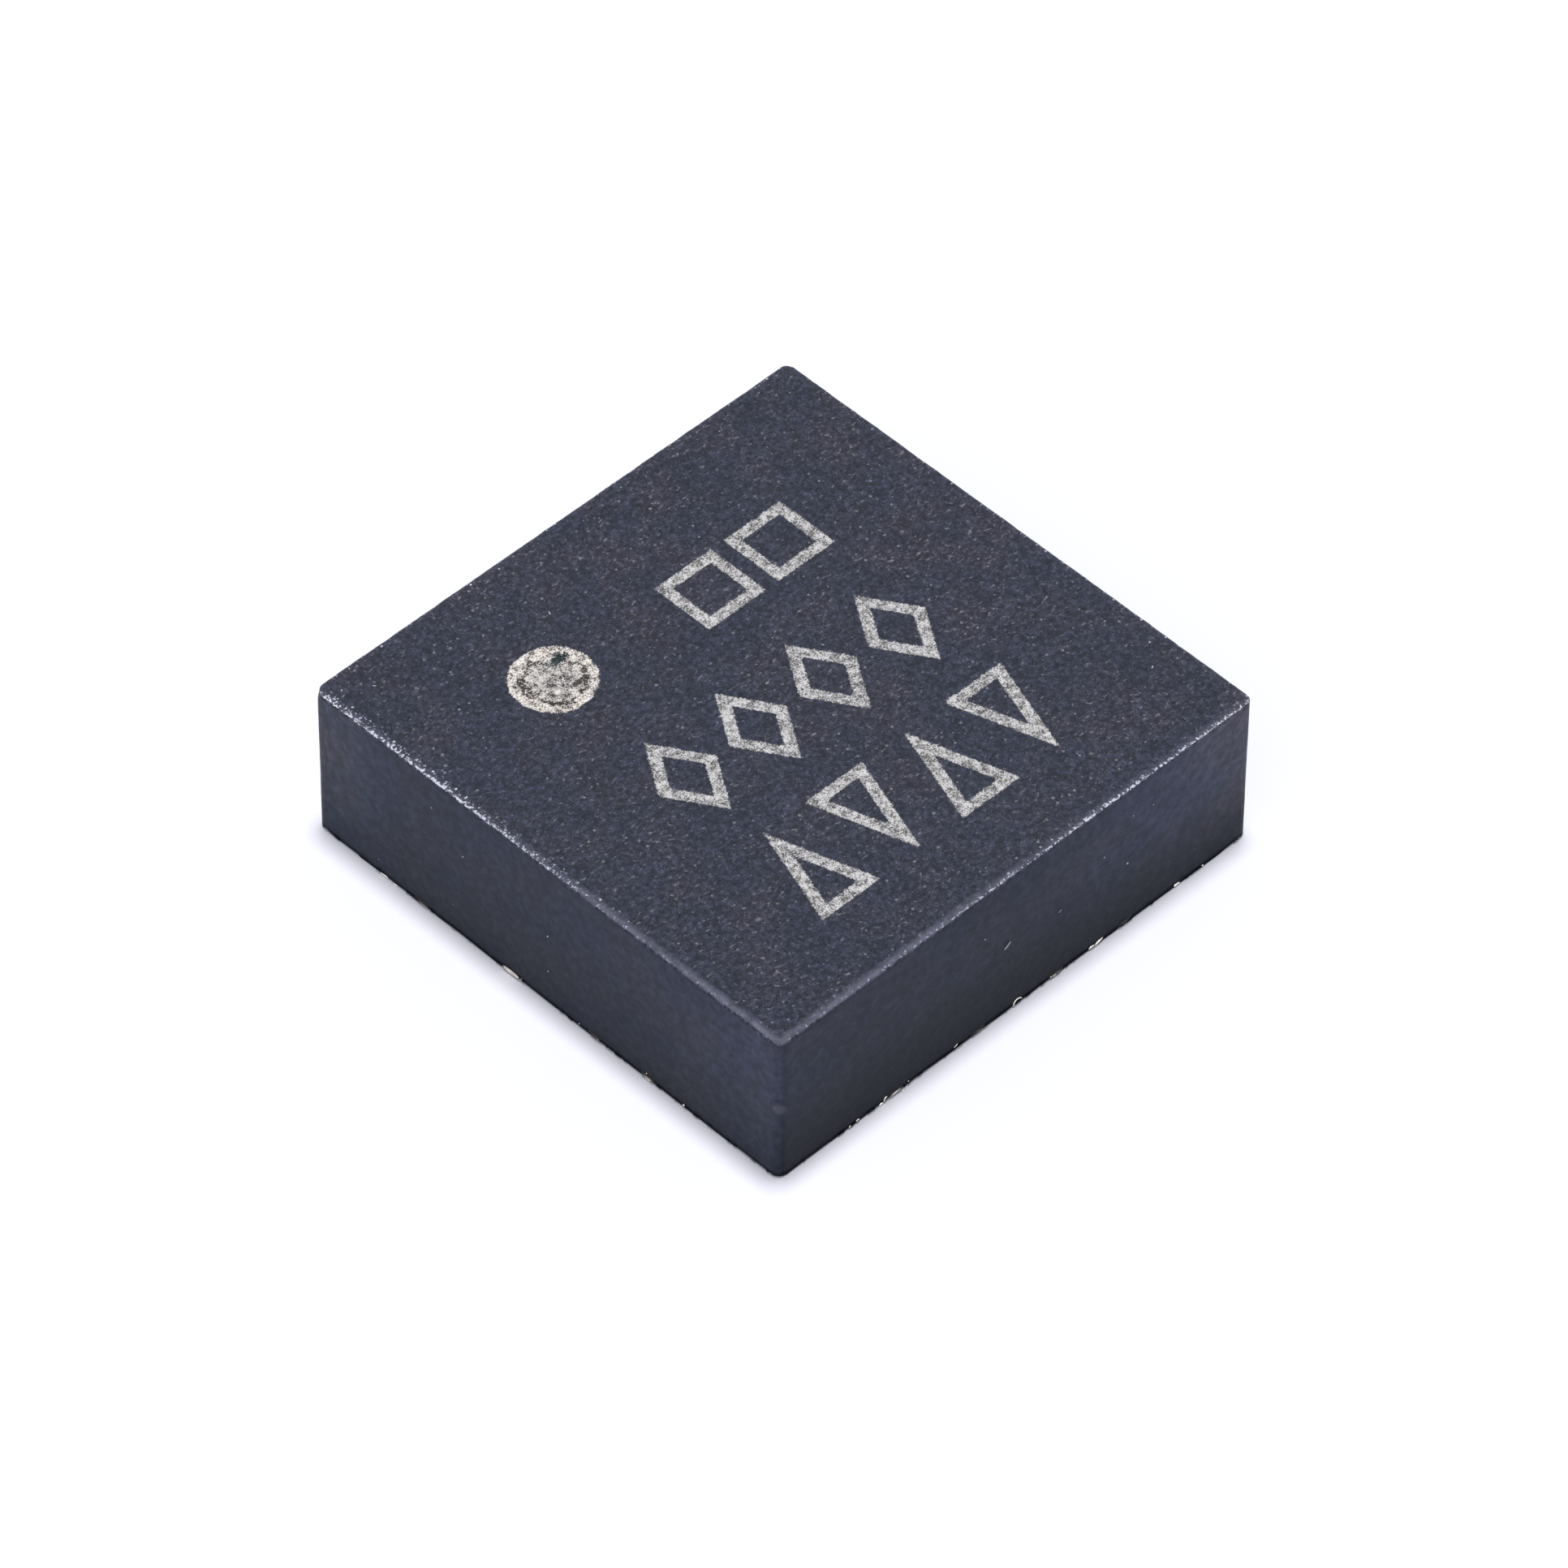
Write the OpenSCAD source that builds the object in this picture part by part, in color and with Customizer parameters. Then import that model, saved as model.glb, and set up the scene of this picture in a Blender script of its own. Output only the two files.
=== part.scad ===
// Three-axis magnetometer chip in a moulded laminate package with sixteen lands.
// Millimetres. The origin is at the centre of the underside, +Z up, marks read along +X.

/* [Package] */
// Width and depth of the square package
package_w = 3; // [2.9:0.05:3.4]
// Height from the land faces to the marked top
package_h = 0.9; // [0.85:0.05:1.1]
// Radius of the four upright corners
corner_r = 0.05; // [0.015:0.005:0.08]
// Width of the broken edge round the top
rim_break = 0.014; // [0.005:0.001:0.03]

/* [Laminate] */
// Thickness of the laminate core
core_t = 0.14; // [0.1:0.01:0.18]
// Thickness of the solder mask on the die side
top_mask_t = 0.03; // [0.026:0.002:0.04]
// Thickness of the solder mask on the underside
bottom_mask_t = 0.025; // [0.022:0.001:0.03]
// Thickness of the die side copper
trace_t = 0.02; // [0.012:0.002:0.024]
// Thickness of the plating stubs that run out from the lands
stub_t = 0.015; // [0.01:0.001:0.02]

/* [Lands] */
// Distance between neighbouring lands
land_spacing = 0.5; // [0.45:0.01:0.55]
// Width of a land along its wall
land_w = 0.25; // [0.2:0.01:0.3]
// Length of a land towards the middle
land_l = 0.4; // [0.32:0.01:0.45]
// How far a land stands out below the solder mask
land_proud = 0.01; // [0.006:0.001:0.015]
// Distance from the outer end of a land to the wall
land_inset = 0.06; // [0.04:0.005:0.08]
// Bare ring between a land and the solder mask
mask_gap = 0.03; // [0.02:0.005:0.04]
// Width of a plating stub
stub_w = 0.09; // [0.06:0.01:0.1]
// How far a stub's sawn end stands out of the wall
stub_proud = 0.006; // [0.002:0.001:0.01]

/* [Traces] */
// Diameter of a plated via
via_d = 0.1; // [0.08:0.01:0.12]
// Diameter of the copper pad over a via
via_pad_d = 0.18; // [0.14:0.01:0.2]
// Distance from a via's centre to the wall
via_inset = 0.15; // [0.13:0.01:0.2]
// Width of a trace and of its bond finger
finger_w = 0.13; // [0.11:0.01:0.16]
// Distance from the inner end of a bond finger to the wall
finger_reach = 0.44; // [0.42:0.01:0.46]
// Bare length of a bond finger in its mask window
finger_bare = 0.16; // [0.12:0.01:0.17]
// How far the mask laps over the copper round a window
mask_lap = 0.015; // [0.01:0.005:0.02]

/* [Dies] */
// Width of the signal die along X
asic_x = 1.3; // [1.1:0.05:1.35]
// Depth of the signal die along Y
asic_y = 1.3; // [1.1:0.05:1.4]
// Width of the flat sensor die along X
xy_die_x = 0.45; // [0.4:0.01:0.5]
// Depth of the flat sensor die along Y
xy_die_y = 1; // [0.9:0.05:1.1]
// Thickness of the two flat dies
flat_die_t = 0.15; // [0.1:0.01:0.18]
// Length of the standing sensor die
z_die_l = 0.8; // [0.7:0.05:0.9]
// Height of the standing sensor die
z_die_h = 0.42; // [0.3:0.02:0.46]
// Thickness of the standing sensor die
z_die_t = 0.12; // [0.08:0.01:0.14]
// Gap between the signal die and the flat sensor die
die_gap = 0.14; // [0.12:0.01:0.16]
// Gap between the signal die and the standing die
z_die_gap = 0.3; // [0.28:0.01:0.32]
// Thickness of the die attach under each die
film_t = 0.02; // [0.01:0.005:0.03]

/* [Bond wires] */
// Diameter of the bond wire
wire_d = 0.025; // [0.018:0.001:0.03]
// Height of a wire's loop above the die
loop_h = 0.1; // [0.08:0.01:0.14]
// Diameter of the ball where a wire starts
ball_d = 0.056; // [0.04:0.004:0.064]
// Height of that ball
ball_h = 0.014; // [0.01:0.002:0.02]
// Length of the flat stitch where a wire ends
stitch_l = 0.04; // [0.03:0.005:0.05]
// Distance from a die's edge to its bond pads
pad_inset = 0.05; // [0.04:0.005:0.07]
// Wires between the signal die and the flat sensor die
xy_wires = 6; // [4:1:6]
// Solder joints and links at the foot of the standing die
z_joints = 4; // [2:1:4]
// Length of each leg of those solder joints
solder_leg = 0.06; // [0.05:0.005:0.07]
// Width of those links
link_w = 0.08; // [0.06:0.01:0.1]
// Gap between the end of a link and the signal die
link_gap = 0.065; // [0.05:0.005:0.08]

/* [Top marks] */
// Depth of the laser marks
mark_depth = 0.008; // [0.004:0.001:0.012]
// Diameter of the pin one mark
dot_d = 0.43; // [0.3:0.01:0.5]
// Distance of the pin one mark from the wall along X
dot_from_side = 0.82; // [0.6:0.01:0.9]
// Distance of the pin one mark from the wall along Y
dot_from_top = 0.71; // [0.5:0.01:0.8]
// Line width of the outlined marks
mark_stroke = 0.06; // [0.04:0.005:0.08]
// Height of a row of marks
mark_h = 0.56; // [0.4:0.02:0.6]
// Width of one mark
mark_w = 0.36; // [0.3:0.01:0.38]
// Distance between neighbouring marks in a row
mark_spacing = 0.44; // [0.42:0.01:0.46]
// Distance between the rows of marks
row_spacing = 0.76; // [0.7:0.01:0.8]
// How far the block of marks lies below the middle
marks_drop = 0.06; // [0:0.01:0.1]

/* [Hidden] */
lands_per_side = 4;
land_count = 4 * lands_per_side;

// Wired lands: land number, die it bonds to (0 signal die, 1 flat sensor die),
// and the place of its pad along that die's edge, as a share counted anticlockwise.
wiring = [
    [1, 0, 0.05], [2, 0, 0.47], [4, 0, 1],
    [8, 1, 0.5], [9, 1, 0], [10, 1, 1 / 3], [11, 1, 2 / 3], [12, 1, 1],
    [13, 1, 0.4], [15, 0, 0.46], [16, 0, 0.88]
];

// Sideways run of the first plating stubs from the middle of their lands; the rest run straight.
stub_shifts = [0.05, -0.035, -0.08, 0.08, 0.02, 0, 0, 0.06];

// Rows of marks on a grid of four columns: the first column filled, and the outline drawn there.
// The pin one mark takes the first two places of the top row.
mark_columns = 4;
mark_rows = [[2, "square"], [0, "diamond"], [0, "triangle"]];

wall = package_w / 2;
land_t = land_proud + bottom_mask_t;
core_top = land_t + core_t;
trace_top = core_top + trace_t;
mask_top = core_top + top_mask_t;
flat_die_foot = mask_top + film_t;
flat_die_top = flat_die_foot + flat_die_t;

// The dies sit together in the middle of the laminate: [x, y] of each one's low corner and its size.
dies_x = asic_x + die_gap + xy_die_x;
dies_y = asic_y + z_die_gap + z_die_t;
asic_at = [-dies_x / 2, dies_y / 2 - asic_y];
asic_size = [asic_x, asic_y];
xy_at = [asic_at.x + asic_x + die_gap, asic_at.y + (asic_y - xy_die_y) / 2];
xy_size = [xy_die_x, xy_die_y];
z_at = [asic_at.x + (asic_x - z_die_l) / 2, -dies_y / 2];
z_face = z_at.y + z_die_t;
link_l = z_die_gap - link_gap;
link_bare = link_l - solder_leg - 3 * mask_lap;

corner_steps = 5;
wire_sides = 8;
eps = 0.01;

function two(n) = str(n < 10 ? "0" : "", n);

mould_tint = [0.28, 0.29, 0.34];
laminate_tint = [0.25, 0.26, 0.31];
mask_tint = [0.17, 0.18, 0.21];
gold_tint = [0.86, 0.69, 0.35];
copper_tint = [0.72, 0.43, 0.29];
silicon_tint = [0.42, 0.43, 0.48];
film_tint = [0.75, 0.74, 0.7];
solder_tint = [0.7, 0.71, 0.73];

// Places

function side_of(n) = floor((n - 1) / lands_per_side);
function along_of(n) = ((lands_per_side - 1) / 2 - (n - 1) % lands_per_side) * land_spacing;
function shift_of(n) = n <= len(stub_shifts) ? stub_shifts[n - 1] : 0;
function turned(p, quarters) = quarters == 0 ? p : turned([-p.y, p.x], quarters - 1);

// Middle of the stitch of land n's wire, on its bond finger
function stitch_at(n) = turned([-wall + finger_reach - mask_lap - finger_bare / 2, along_of(n)], side_of(n));

// A bond pad on a die's edge; the edges follow the lands' order, left, near, right, far
function pad_at(at, size, side, share) =
    let (
        lo = [at.x + pad_inset, at.y + pad_inset],
        hi = [at.x + size.x - pad_inset, at.y + size.y - pad_inset]
    )
    side == 0 ? [lo.x, hi.y + share * (lo.y - hi.y)] :
    side == 1 ? [lo.x + share * (hi.x - lo.x), lo.y] :
    side == 2 ? [hi.x, lo.y + share * (hi.y - lo.y)] :
    [hi.x + share * (lo.x - hi.x), hi.y];

function land_pad(w) = w[1] == 0
    ? pad_at(asic_at, asic_size, side_of(w[0]), w[2])
    : pad_at(xy_at, xy_size, side_of(w[0]), w[2]);
function xy_wire_y(i) = xy_at.y + pad_inset + (i - 1) / (xy_wires - 1) * (xy_die_y - 2 * pad_inset);
function link_x(i) = z_at.x + z_die_l * (i - 0.5) / z_joints;

// Turns the local frame of the left wall, with its outer face at X = 0, to land n's place
module at_land(n) {
    rotate([0, 0, 90 * side_of(n)]) translate([-wall, along_of(n), 0]) children();
}

// Outline of the sawn package, drawn in by a margin
function outline(inset) = [
    for (q = [0:3]) for (k = [0:corner_steps])
        let (
            a = 90 * (q + k / corner_steps),
            r = max(corner_r - inset, corner_r / 2),
            c = turned([wall - inset - r, wall - inset - r], q)
        )
        [c.x + r * cos(a), c.y + r * sin(a)]
];

module slab(foot, top) {
    translate([0, 0, foot]) linear_extrude(height = top - foot) polygon(outline(0));
}

// Underside

module land_shape(n) {
    translate([land_inset, -land_w / 2, 0]) cube([land_l, land_w, land_t]);
    translate([-stub_proud, shift_of(n) - stub_w / 2, land_t - stub_t])
        cube([stub_proud + land_inset + eps, stub_w, stub_t]);
}

module land(n) {
    color(gold_tint) at_land(n) land_shape(n);
}

module bottom_mask() {
    color(mask_tint) difference() {
        slab(land_proud, land_t);
        for (n = [1:land_count]) at_land(n) {
            translate([land_inset - mask_gap, -land_w / 2 - mask_gap, 0])
                cube([land_l + 2 * mask_gap, land_w + 2 * mask_gap, land_t + eps]);
            translate([-eps, shift_of(n) - stub_w / 2, land_t - stub_t])
                cube([land_inset, stub_w, stub_t + eps]);
        }
    }
}

// Laminate and the copper on its die side

module via(foot, top) {
    translate([via_inset, 0, foot]) cylinder(h = top - foot, d = via_d, $fn = 32);
}

module trace_copper() {
    translate([via_inset, 0, core_top]) cylinder(h = trace_t, d = via_pad_d, $fn = 32);
    translate([via_inset, -finger_w / 2, core_top]) cube([finger_reach - via_inset, finger_w, trace_t]);
}

module trace(n) {
    color(copper_tint) at_land(n) {
        via(land_t, core_top + trace_t / 2);
        trace_copper();
    }
}

module core_laminate() {
    color(laminate_tint) difference() {
        slab(land_t, core_top);
        for (w = wiring) at_land(w[0]) via(land_t - eps, core_top + eps);
    }
}

// Short link from a solder joint of the standing die to its bond finger
module z_link(i) {
    translate([link_x(i) - link_w / 2, z_face, core_top]) cube([link_w, link_l, trace_t]);
}

module z_links() {
    color(copper_tint) for (i = [1:z_joints]) z_link(i);
}

// Mask windows, from the copper up: one over each bond finger, two over each link
module finger_window(top) {
    translate([finger_reach - mask_lap - finger_bare, -finger_w / 2 + mask_lap, trace_top])
        cube([finger_bare, finger_w - 2 * mask_lap, top - trace_top]);
}

module link_windows(i, top) {
    bare_w = link_w - 2 * mask_lap;
    translate([link_x(i) - bare_w / 2, z_face, trace_top]) {
        cube([bare_w, solder_leg, top - trace_top]);
        translate([0, solder_leg + 2 * mask_lap, 0]) cube([bare_w, link_bare, top - trace_top]);
    }
}

module windows(top) {
    for (w = wiring) at_land(w[0]) finger_window(top);
    for (i = [1:z_joints]) link_windows(i, top);
}

module top_mask() {
    color(mask_tint) difference() {
        slab(core_top, mask_top);
        for (w = wiring) at_land(w[0]) trace_copper();
        for (i = [1:z_joints]) z_link(i);
        windows(mask_top + eps);
    }
}

// Dies and what holds them

module die(at, size, foot, height) {
    translate([at.x, at.y, foot]) cube([size.x, size.y, height]);
}

module asic_die() {
    color(silicon_tint) die(asic_at, asic_size, flat_die_foot, flat_die_t);
}

module xy_sensor_die() {
    color(silicon_tint) die(xy_at, xy_size, flat_die_foot, flat_die_t);
}

module z_sensor_die() {
    color(silicon_tint) die(z_at, [z_die_l, z_die_t], flat_die_foot, z_die_h);
}

module asic_film() {
    color(film_tint) die(asic_at, asic_size, mask_top, film_t);
}

module xy_film() {
    color(film_tint) die(xy_at, xy_size, mask_top, film_t);
}

module z_film() {
    color(film_tint) die(z_at, [z_die_l, z_die_t], mask_top, film_t);
}

// Solder in the corner between a link and the standing die's face
module z_solder_joint(i) {
    height = film_t + mask_top - trace_top + solder_leg;
    width = link_w - 2 * mask_lap;
    translate([link_x(i) - width / 2, z_face, trace_top])
        rotate([90, 0, 90]) linear_extrude(height = width)
            polygon([[0, 0], [solder_leg, 0], [0, height]]);
}

module z_solder() {
    color(solder_tint) for (i = [1:z_joints]) z_solder_joint(i);
}

// Bond wires

// Loop of a wire in its own upright plane: distance along it and height, from ball to stitch
function loop_path(span, start, finish) = [
    [0, start + ball_h / 2],
    [0, start + loop_h * 0.6],
    [loop_h * 0.25, start + loop_h],
    [loop_h * 0.25 + span * 0.3, start + loop_h],
    [span - stitch_l / 2, finish + wire_d / 2],
    [span + stitch_l / 2, finish + wire_d / 2]
];

function heading(a, b) = atan2(b.y - a.y, b.x - a.x);

// One ring of the wire's section at point i, mitred between the stretches that meet there
function wire_ring(path, i) =
    let (
        last = len(path) - 1,
        before = heading(path[max(i - 1, 0)], path[max(i, 1)]),
        after = heading(path[min(i, last - 1)], path[min(i + 1, last)]),
        lean = (before + after) / 2,
        stretch = 1 / cos((after - before) / 2),
        r = wire_d / 2 / cos(180 / wire_sides)
    )
    [
        for (k = [0:wire_sides - 1])
            let (
                a = 360 * (k + 0.5) / wire_sides,
                v = r * sin(a) * stretch
            )
            [path[i].x - v * sin(lean), r * cos(a), path[i].y + v * cos(lean)]
    ];

module wire(from, to, start, finish) {
    span = norm([to.x - from.x, to.y - from.y]);
    path = loop_path(span, start, finish);
    rings = len(path);
    points = [for (i = [0:rings - 1]) each wire_ring(path, i)];
    sides = [
        for (i = [0:rings - 2]) for (k = [0:wire_sides - 1])
            let (
                a = i * wire_sides,
                next = (k + 1) % wire_sides
            )
            [a + k, a + wire_sides + k, a + wire_sides + next, a + next]
    ];
    head = [for (k = [0:wire_sides - 1]) k];
    tail = [for (k = [0:wire_sides - 1]) rings * wire_sides - 1 - k];
    translate([from.x, from.y, 0]) rotate([0, 0, heading(from, to)]) {
        polyhedron(points, concat([head], sides, [tail]));
        translate([0, 0, start]) cylinder(h = ball_h, d = ball_d, $fn = 32);
    }
}

module land_wire_shape(w) {
    wire(land_pad(w), stitch_at(w[0]), flat_die_top, trace_top);
}

module xy_wire_shape(i) {
    y = xy_wire_y(i);
    wire([xy_at.x + pad_inset, y], [asic_at.x + asic_x - pad_inset, y], flat_die_top, flat_die_top);
}

module z_wire_shape(i) {
    x = link_x(i);
    stitch_y = z_face + link_l - mask_lap - link_bare / 2;
    wire([x, asic_at.y + pad_inset], [x, stitch_y], flat_die_top, trace_top);
}

module land_wire(w) {
    color(gold_tint) land_wire_shape(w);
}

module xy_wire(i) {
    color(gold_tint) xy_wire_shape(i);
}

module z_wire(i) {
    color(gold_tint) z_wire_shape(i);
}

// Mould body

// Block above the laminate, with its top edge broken all round
module mould_block() {
    levels = [[mask_top, 0], [package_h - rim_break, 0], [package_h, rim_break]];
    count = len(outline(0));
    points = [for (l = levels) for (p = outline(l[1])) [p.x, p.y, l[0]]];
    sides = [
        for (i = [0:len(levels) - 2]) for (k = [0:count - 1])
            let (
                a = i * count,
                next = (k + 1) % count
            )
            [a + k, a + count + k, a + count + next, a + next]
    ];
    foot = [for (k = [0:count - 1]) k];
    top = [for (k = [0:count - 1]) len(levels) * count - 1 - k];
    polyhedron(points, concat([foot], sides, [top]));
}

module square_mark() {
    difference() {
        square(mark_w, center = true);
        square(mark_w - 2 * mark_stroke, center = true);
    }
}

// An outline whose inner edge lies one stroke inside, by the share of its inscribed circle
module outlined(points, inner_r) {
    difference() {
        polygon(points);
        polygon((1 - mark_stroke / inner_r) * points);
    }
}

module diamond_mark() {
    a = mark_w / 2;
    b = mark_h / 2;
    outlined([[a, 0], [0, b], [-a, 0], [0, -b]], a * b / norm([a, b]));
}

module triangle_mark() {
    a = mark_w / 2;
    side = norm([a, mark_h]);
    inner_r = a * mark_h / (a + side);
    translate([0, inner_r - mark_h / 2])
        outlined([[-a, -inner_r], [a, -inner_r], [0, mark_h - inner_r]], inner_r);
}

module mark(kind, column) {
    if (kind == "square") square_mark();
    if (kind == "diamond") diamond_mark();
    if (kind == "triangle") rotate(column % 2 * 180) triangle_mark();
}

module top_marks() {
    translate([0, 0, package_h - mark_depth]) {
        translate([dot_from_side - wall, wall - dot_from_top, 0])
            cylinder(h = mark_depth + eps, d = dot_d, $fn = 64);
        linear_extrude(height = mark_depth + eps)
            for (r = [0:len(mark_rows) - 1]) for (c = [mark_rows[r][0]:mark_columns - 1])
                translate([(c - (mark_columns - 1) / 2) * mark_spacing, (1 - r) * row_spacing - marks_drop])
                    mark(mark_rows[r][1], c);
    }
}

module mould_body() {
    color(mould_tint) difference() {
        union() {
            mould_block();
            windows(mask_top + eps);
        }
        top_marks();
        die(asic_at, asic_size, mask_top - eps, eps + film_t + flat_die_t);
        die(xy_at, xy_size, mask_top - eps, eps + film_t + flat_die_t);
        die(z_at, [z_die_l, z_die_t], mask_top - eps, eps + film_t + z_die_h);
        for (i = [1:z_joints]) z_solder_joint(i);
        for (w = wiring) land_wire_shape(w);
        for (i = [1:xy_wires]) xy_wire_shape(i);
        for (i = [1:z_joints]) z_wire_shape(i);
    }
}

mould_body();
core_laminate();
bottom_mask();
top_mask();
for (n = [1:land_count]) land(n);
for (w = wiring) trace(w[0]);
asic_die();
xy_sensor_die();
z_sensor_die();
asic_film();
xy_film();
z_film();
for (w = wiring) land_wire(w);
for (i = [1:xy_wires]) xy_wire(i);
for (i = [1:z_joints]) z_wire(i);
z_links();
z_solder();
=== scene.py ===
import math

import bmesh
import bpy
import numpy as np
from mathutils import Matrix, Vector


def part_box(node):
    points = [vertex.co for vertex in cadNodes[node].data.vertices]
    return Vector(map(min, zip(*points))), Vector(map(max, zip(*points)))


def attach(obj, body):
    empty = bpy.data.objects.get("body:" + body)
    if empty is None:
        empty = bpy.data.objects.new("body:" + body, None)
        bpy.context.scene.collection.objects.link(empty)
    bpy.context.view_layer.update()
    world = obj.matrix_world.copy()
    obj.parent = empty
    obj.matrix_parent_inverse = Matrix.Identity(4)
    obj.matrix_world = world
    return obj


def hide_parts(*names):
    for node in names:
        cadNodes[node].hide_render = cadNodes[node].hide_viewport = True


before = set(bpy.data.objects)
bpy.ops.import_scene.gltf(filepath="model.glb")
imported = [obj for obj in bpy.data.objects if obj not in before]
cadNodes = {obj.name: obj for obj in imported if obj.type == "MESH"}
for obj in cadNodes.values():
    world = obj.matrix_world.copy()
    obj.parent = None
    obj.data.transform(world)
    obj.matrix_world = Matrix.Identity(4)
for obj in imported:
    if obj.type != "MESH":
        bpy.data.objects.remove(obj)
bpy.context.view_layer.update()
mm = 0.001
close = 1e-8  # metres; places that agree within this are the same
print("frame loaded:", len(cadNodes), "nodes")

# Levels and outline of the package, from the frame
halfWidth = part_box("core_laminate")[1].x
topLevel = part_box("mould_body")[1].z
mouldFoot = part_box("top_mask")[1].z
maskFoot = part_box("bottom_mask")[0].z
stubProud = -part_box("land_02")[0].x - halfWidth


# Camera, lights and floor

view = {
    "azimuth": -44.867,
    "elevation": 46.983,
    "roll": 0.463,
    "distance": 48.412,  # mm from the middle of the package
    "lens": 245.26,
    "aimRight": 0.0043,  # mm from the middle to the point in the centre of the picture
    "aimUp": -0.1008,
}


# The camera stands on the line given by azimuth and elevation, turned by its roll, and looks a little
# below the middle of the package
def makeCamera():
    azimuth, elevation, roll = (math.radians(view[key]) for key in ("azimuth", "elevation", "roll"))
    back = Vector((
        math.sin(azimuth) * math.cos(elevation),
        -math.cos(azimuth) * math.cos(elevation),
        math.sin(elevation),
    ))
    level = Vector((math.cos(azimuth), math.sin(azimuth), 0))
    steep = back.cross(level)
    right = math.cos(roll) * level + math.sin(roll) * steep
    up = math.cos(roll) * steep - math.sin(roll) * level
    middle = Vector((0, 0, topLevel / 2))
    place = middle + back * view["distance"] * mm
    aim = middle + (right * view["aimRight"] + up * view["aimUp"]) * mm
    back = (place - aim).normalized()
    right = up.cross(back).normalized()
    up = back.cross(right)
    data = bpy.data.cameras.new("camera")
    data.lens = view["lens"]
    data.clip_start = 1 * mm
    data.clip_end = 10
    camera = bpy.data.objects.new("camera", data)
    camera.matrix_world = Matrix((
        (right.x, up.x, back.x, place.x),
        (right.y, up.y, back.y, place.y),
        (right.z, up.z, back.z, place.z),
        (0, 0, 0, 1),
    ))
    bpy.context.scene.collection.objects.link(camera)
    bpy.context.scene.camera = camera


makeCamera()


# Shader nodes

# Adds a node to a tree; each input is a value, or a socket to link from
def addNode(tree, kind, inputs=None, **settings):
    node = tree.nodes.new(kind)
    for name, value in settings.items():
        setattr(node, name, value)
    for key, value in (inputs or {}).items():
        if isinstance(value, bpy.types.NodeSocket):
            tree.links.new(value, node.inputs[key])
        else:
            node.inputs[key].default_value = value
    return node


# One sum, product or the like of two values
def maths(tree, operation, first, second=0.0, clamp=False):
    inputs = {0: first, 1: second}
    return addNode(tree, "ShaderNodeMath", inputs, operation=operation, use_clamp=clamp).outputs[0]


# A value times each of the others in turn
def product(tree, value, *others):
    for other in others:
        value = maths(tree, "MULTIPLY", value, other)
    return value


# A field about a half, made a swing about nothing
def swing(tree, field, size):
    return product(tree, maths(tree, "SUBTRACT", field, 0.5), size)


# A value carried from one range to another, straight or by a smooth step
def spread(tree, value, low, high, toLow=0.0, toHigh=1.0, smooth=False):
    kind = "SMOOTHSTEP" if smooth else "LINEAR"
    inputs = {"Value": value, "From Min": low, "From Max": high, "To Min": toLow, "To Max": toHigh}
    return addNode(tree, "ShaderNodeMapRange", inputs, interpolation_type=kind).outputs["Result"]


# A band that comes in over one range of the value and goes out over another
def band(tree, value, comesIn, goesOut):
    return product(tree, spread(tree, value, *comesIn), spread(tree, value, *goesOut, 1.0, 0.0))


# The first colour, with the second laid over it by the share
def mixColours(tree, share, first, second, blend="MIX"):
    inputs = {0: share, 6: first, 7: second}
    return addNode(tree, "ShaderNodeMix", inputs, data_type="RGBA", blend_type=blend).outputs[2]


# From the first value to the second by the share
def mixValues(tree, share, first, second):
    return addNode(tree, "ShaderNodeMix", {0: share, 2: first, 3: second}, data_type="FLOAT").outputs[0]


# A colour times a tone
def toned(tree, colour, tone):
    return mixColours(tree, 1.0, colour, tone, "MULTIPLY")


# A noise about a half; scale is in cells per mm
def noise(tree, place, scale, detail=2.0, roughness=0.5):
    inputs = {"Vector": place, "Scale": scale, "Detail": detail, "Roughness": roughness}
    return addNode(tree, "ShaderNodeTexNoise", inputs).outputs["Fac"]


# A value that the piece carries at its points
def attribute(tree, name):
    return addNode(tree, "ShaderNodeAttribute", attribute_name=name).outputs["Fac"]


def newMaterial(name):
    material = bpy.data.materials.new(name)
    material.use_nodes = True
    tree = material.node_tree
    tree.nodes.clear()
    return material, tree


# Angles in degrees; share is the part of full light that a surface facing the light gets
lights = {
    "overhead": {"share": 0.79, "width": 11.3, "tilt": 2.9, "towards": 30},  # it leans away from the camera
    "side": {"share": 0.08, "width": 60, "tilt": 50, "towards": 195},
    "sky": {"share": 0.22, "colour": (0.90, 0.92, 1.14)},
    "floor": {"colour": (0.93, 0.935, 1.0), "glow": 0.07, "reach": 0.6},  # half its side, in metres
}


# A lamp at infinity
def makeLamp(name, facts):
    data = bpy.data.lights.new(name, "SUN")
    data.energy = facts["share"] * math.pi
    data.angle = math.radians(facts["width"])
    lamp = bpy.data.objects.new(name, data)
    tilt, towards = math.radians(facts["tilt"]), math.radians(facts["towards"])
    source = Vector((math.sin(tilt) * math.cos(towards), math.sin(tilt) * math.sin(towards), math.cos(tilt)))
    lamp.rotation_mode = "QUATERNION"
    lamp.rotation_quaternion = source.to_track_quat("Z", "Y")
    bpy.context.scene.collection.objects.link(lamp)


# 1 where the camera, a mirror or glass looks, so that each shows the pale background
def directShare(tree):
    path = addNode(tree, "ShaderNodeLightPath").outputs
    direct = maths(tree, "ADD", path["Is Camera Ray"], path["Is Glossy Ray"])
    return maths(tree, "ADD", direct, path["Is Transmission Ray"], clamp=True)


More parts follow.
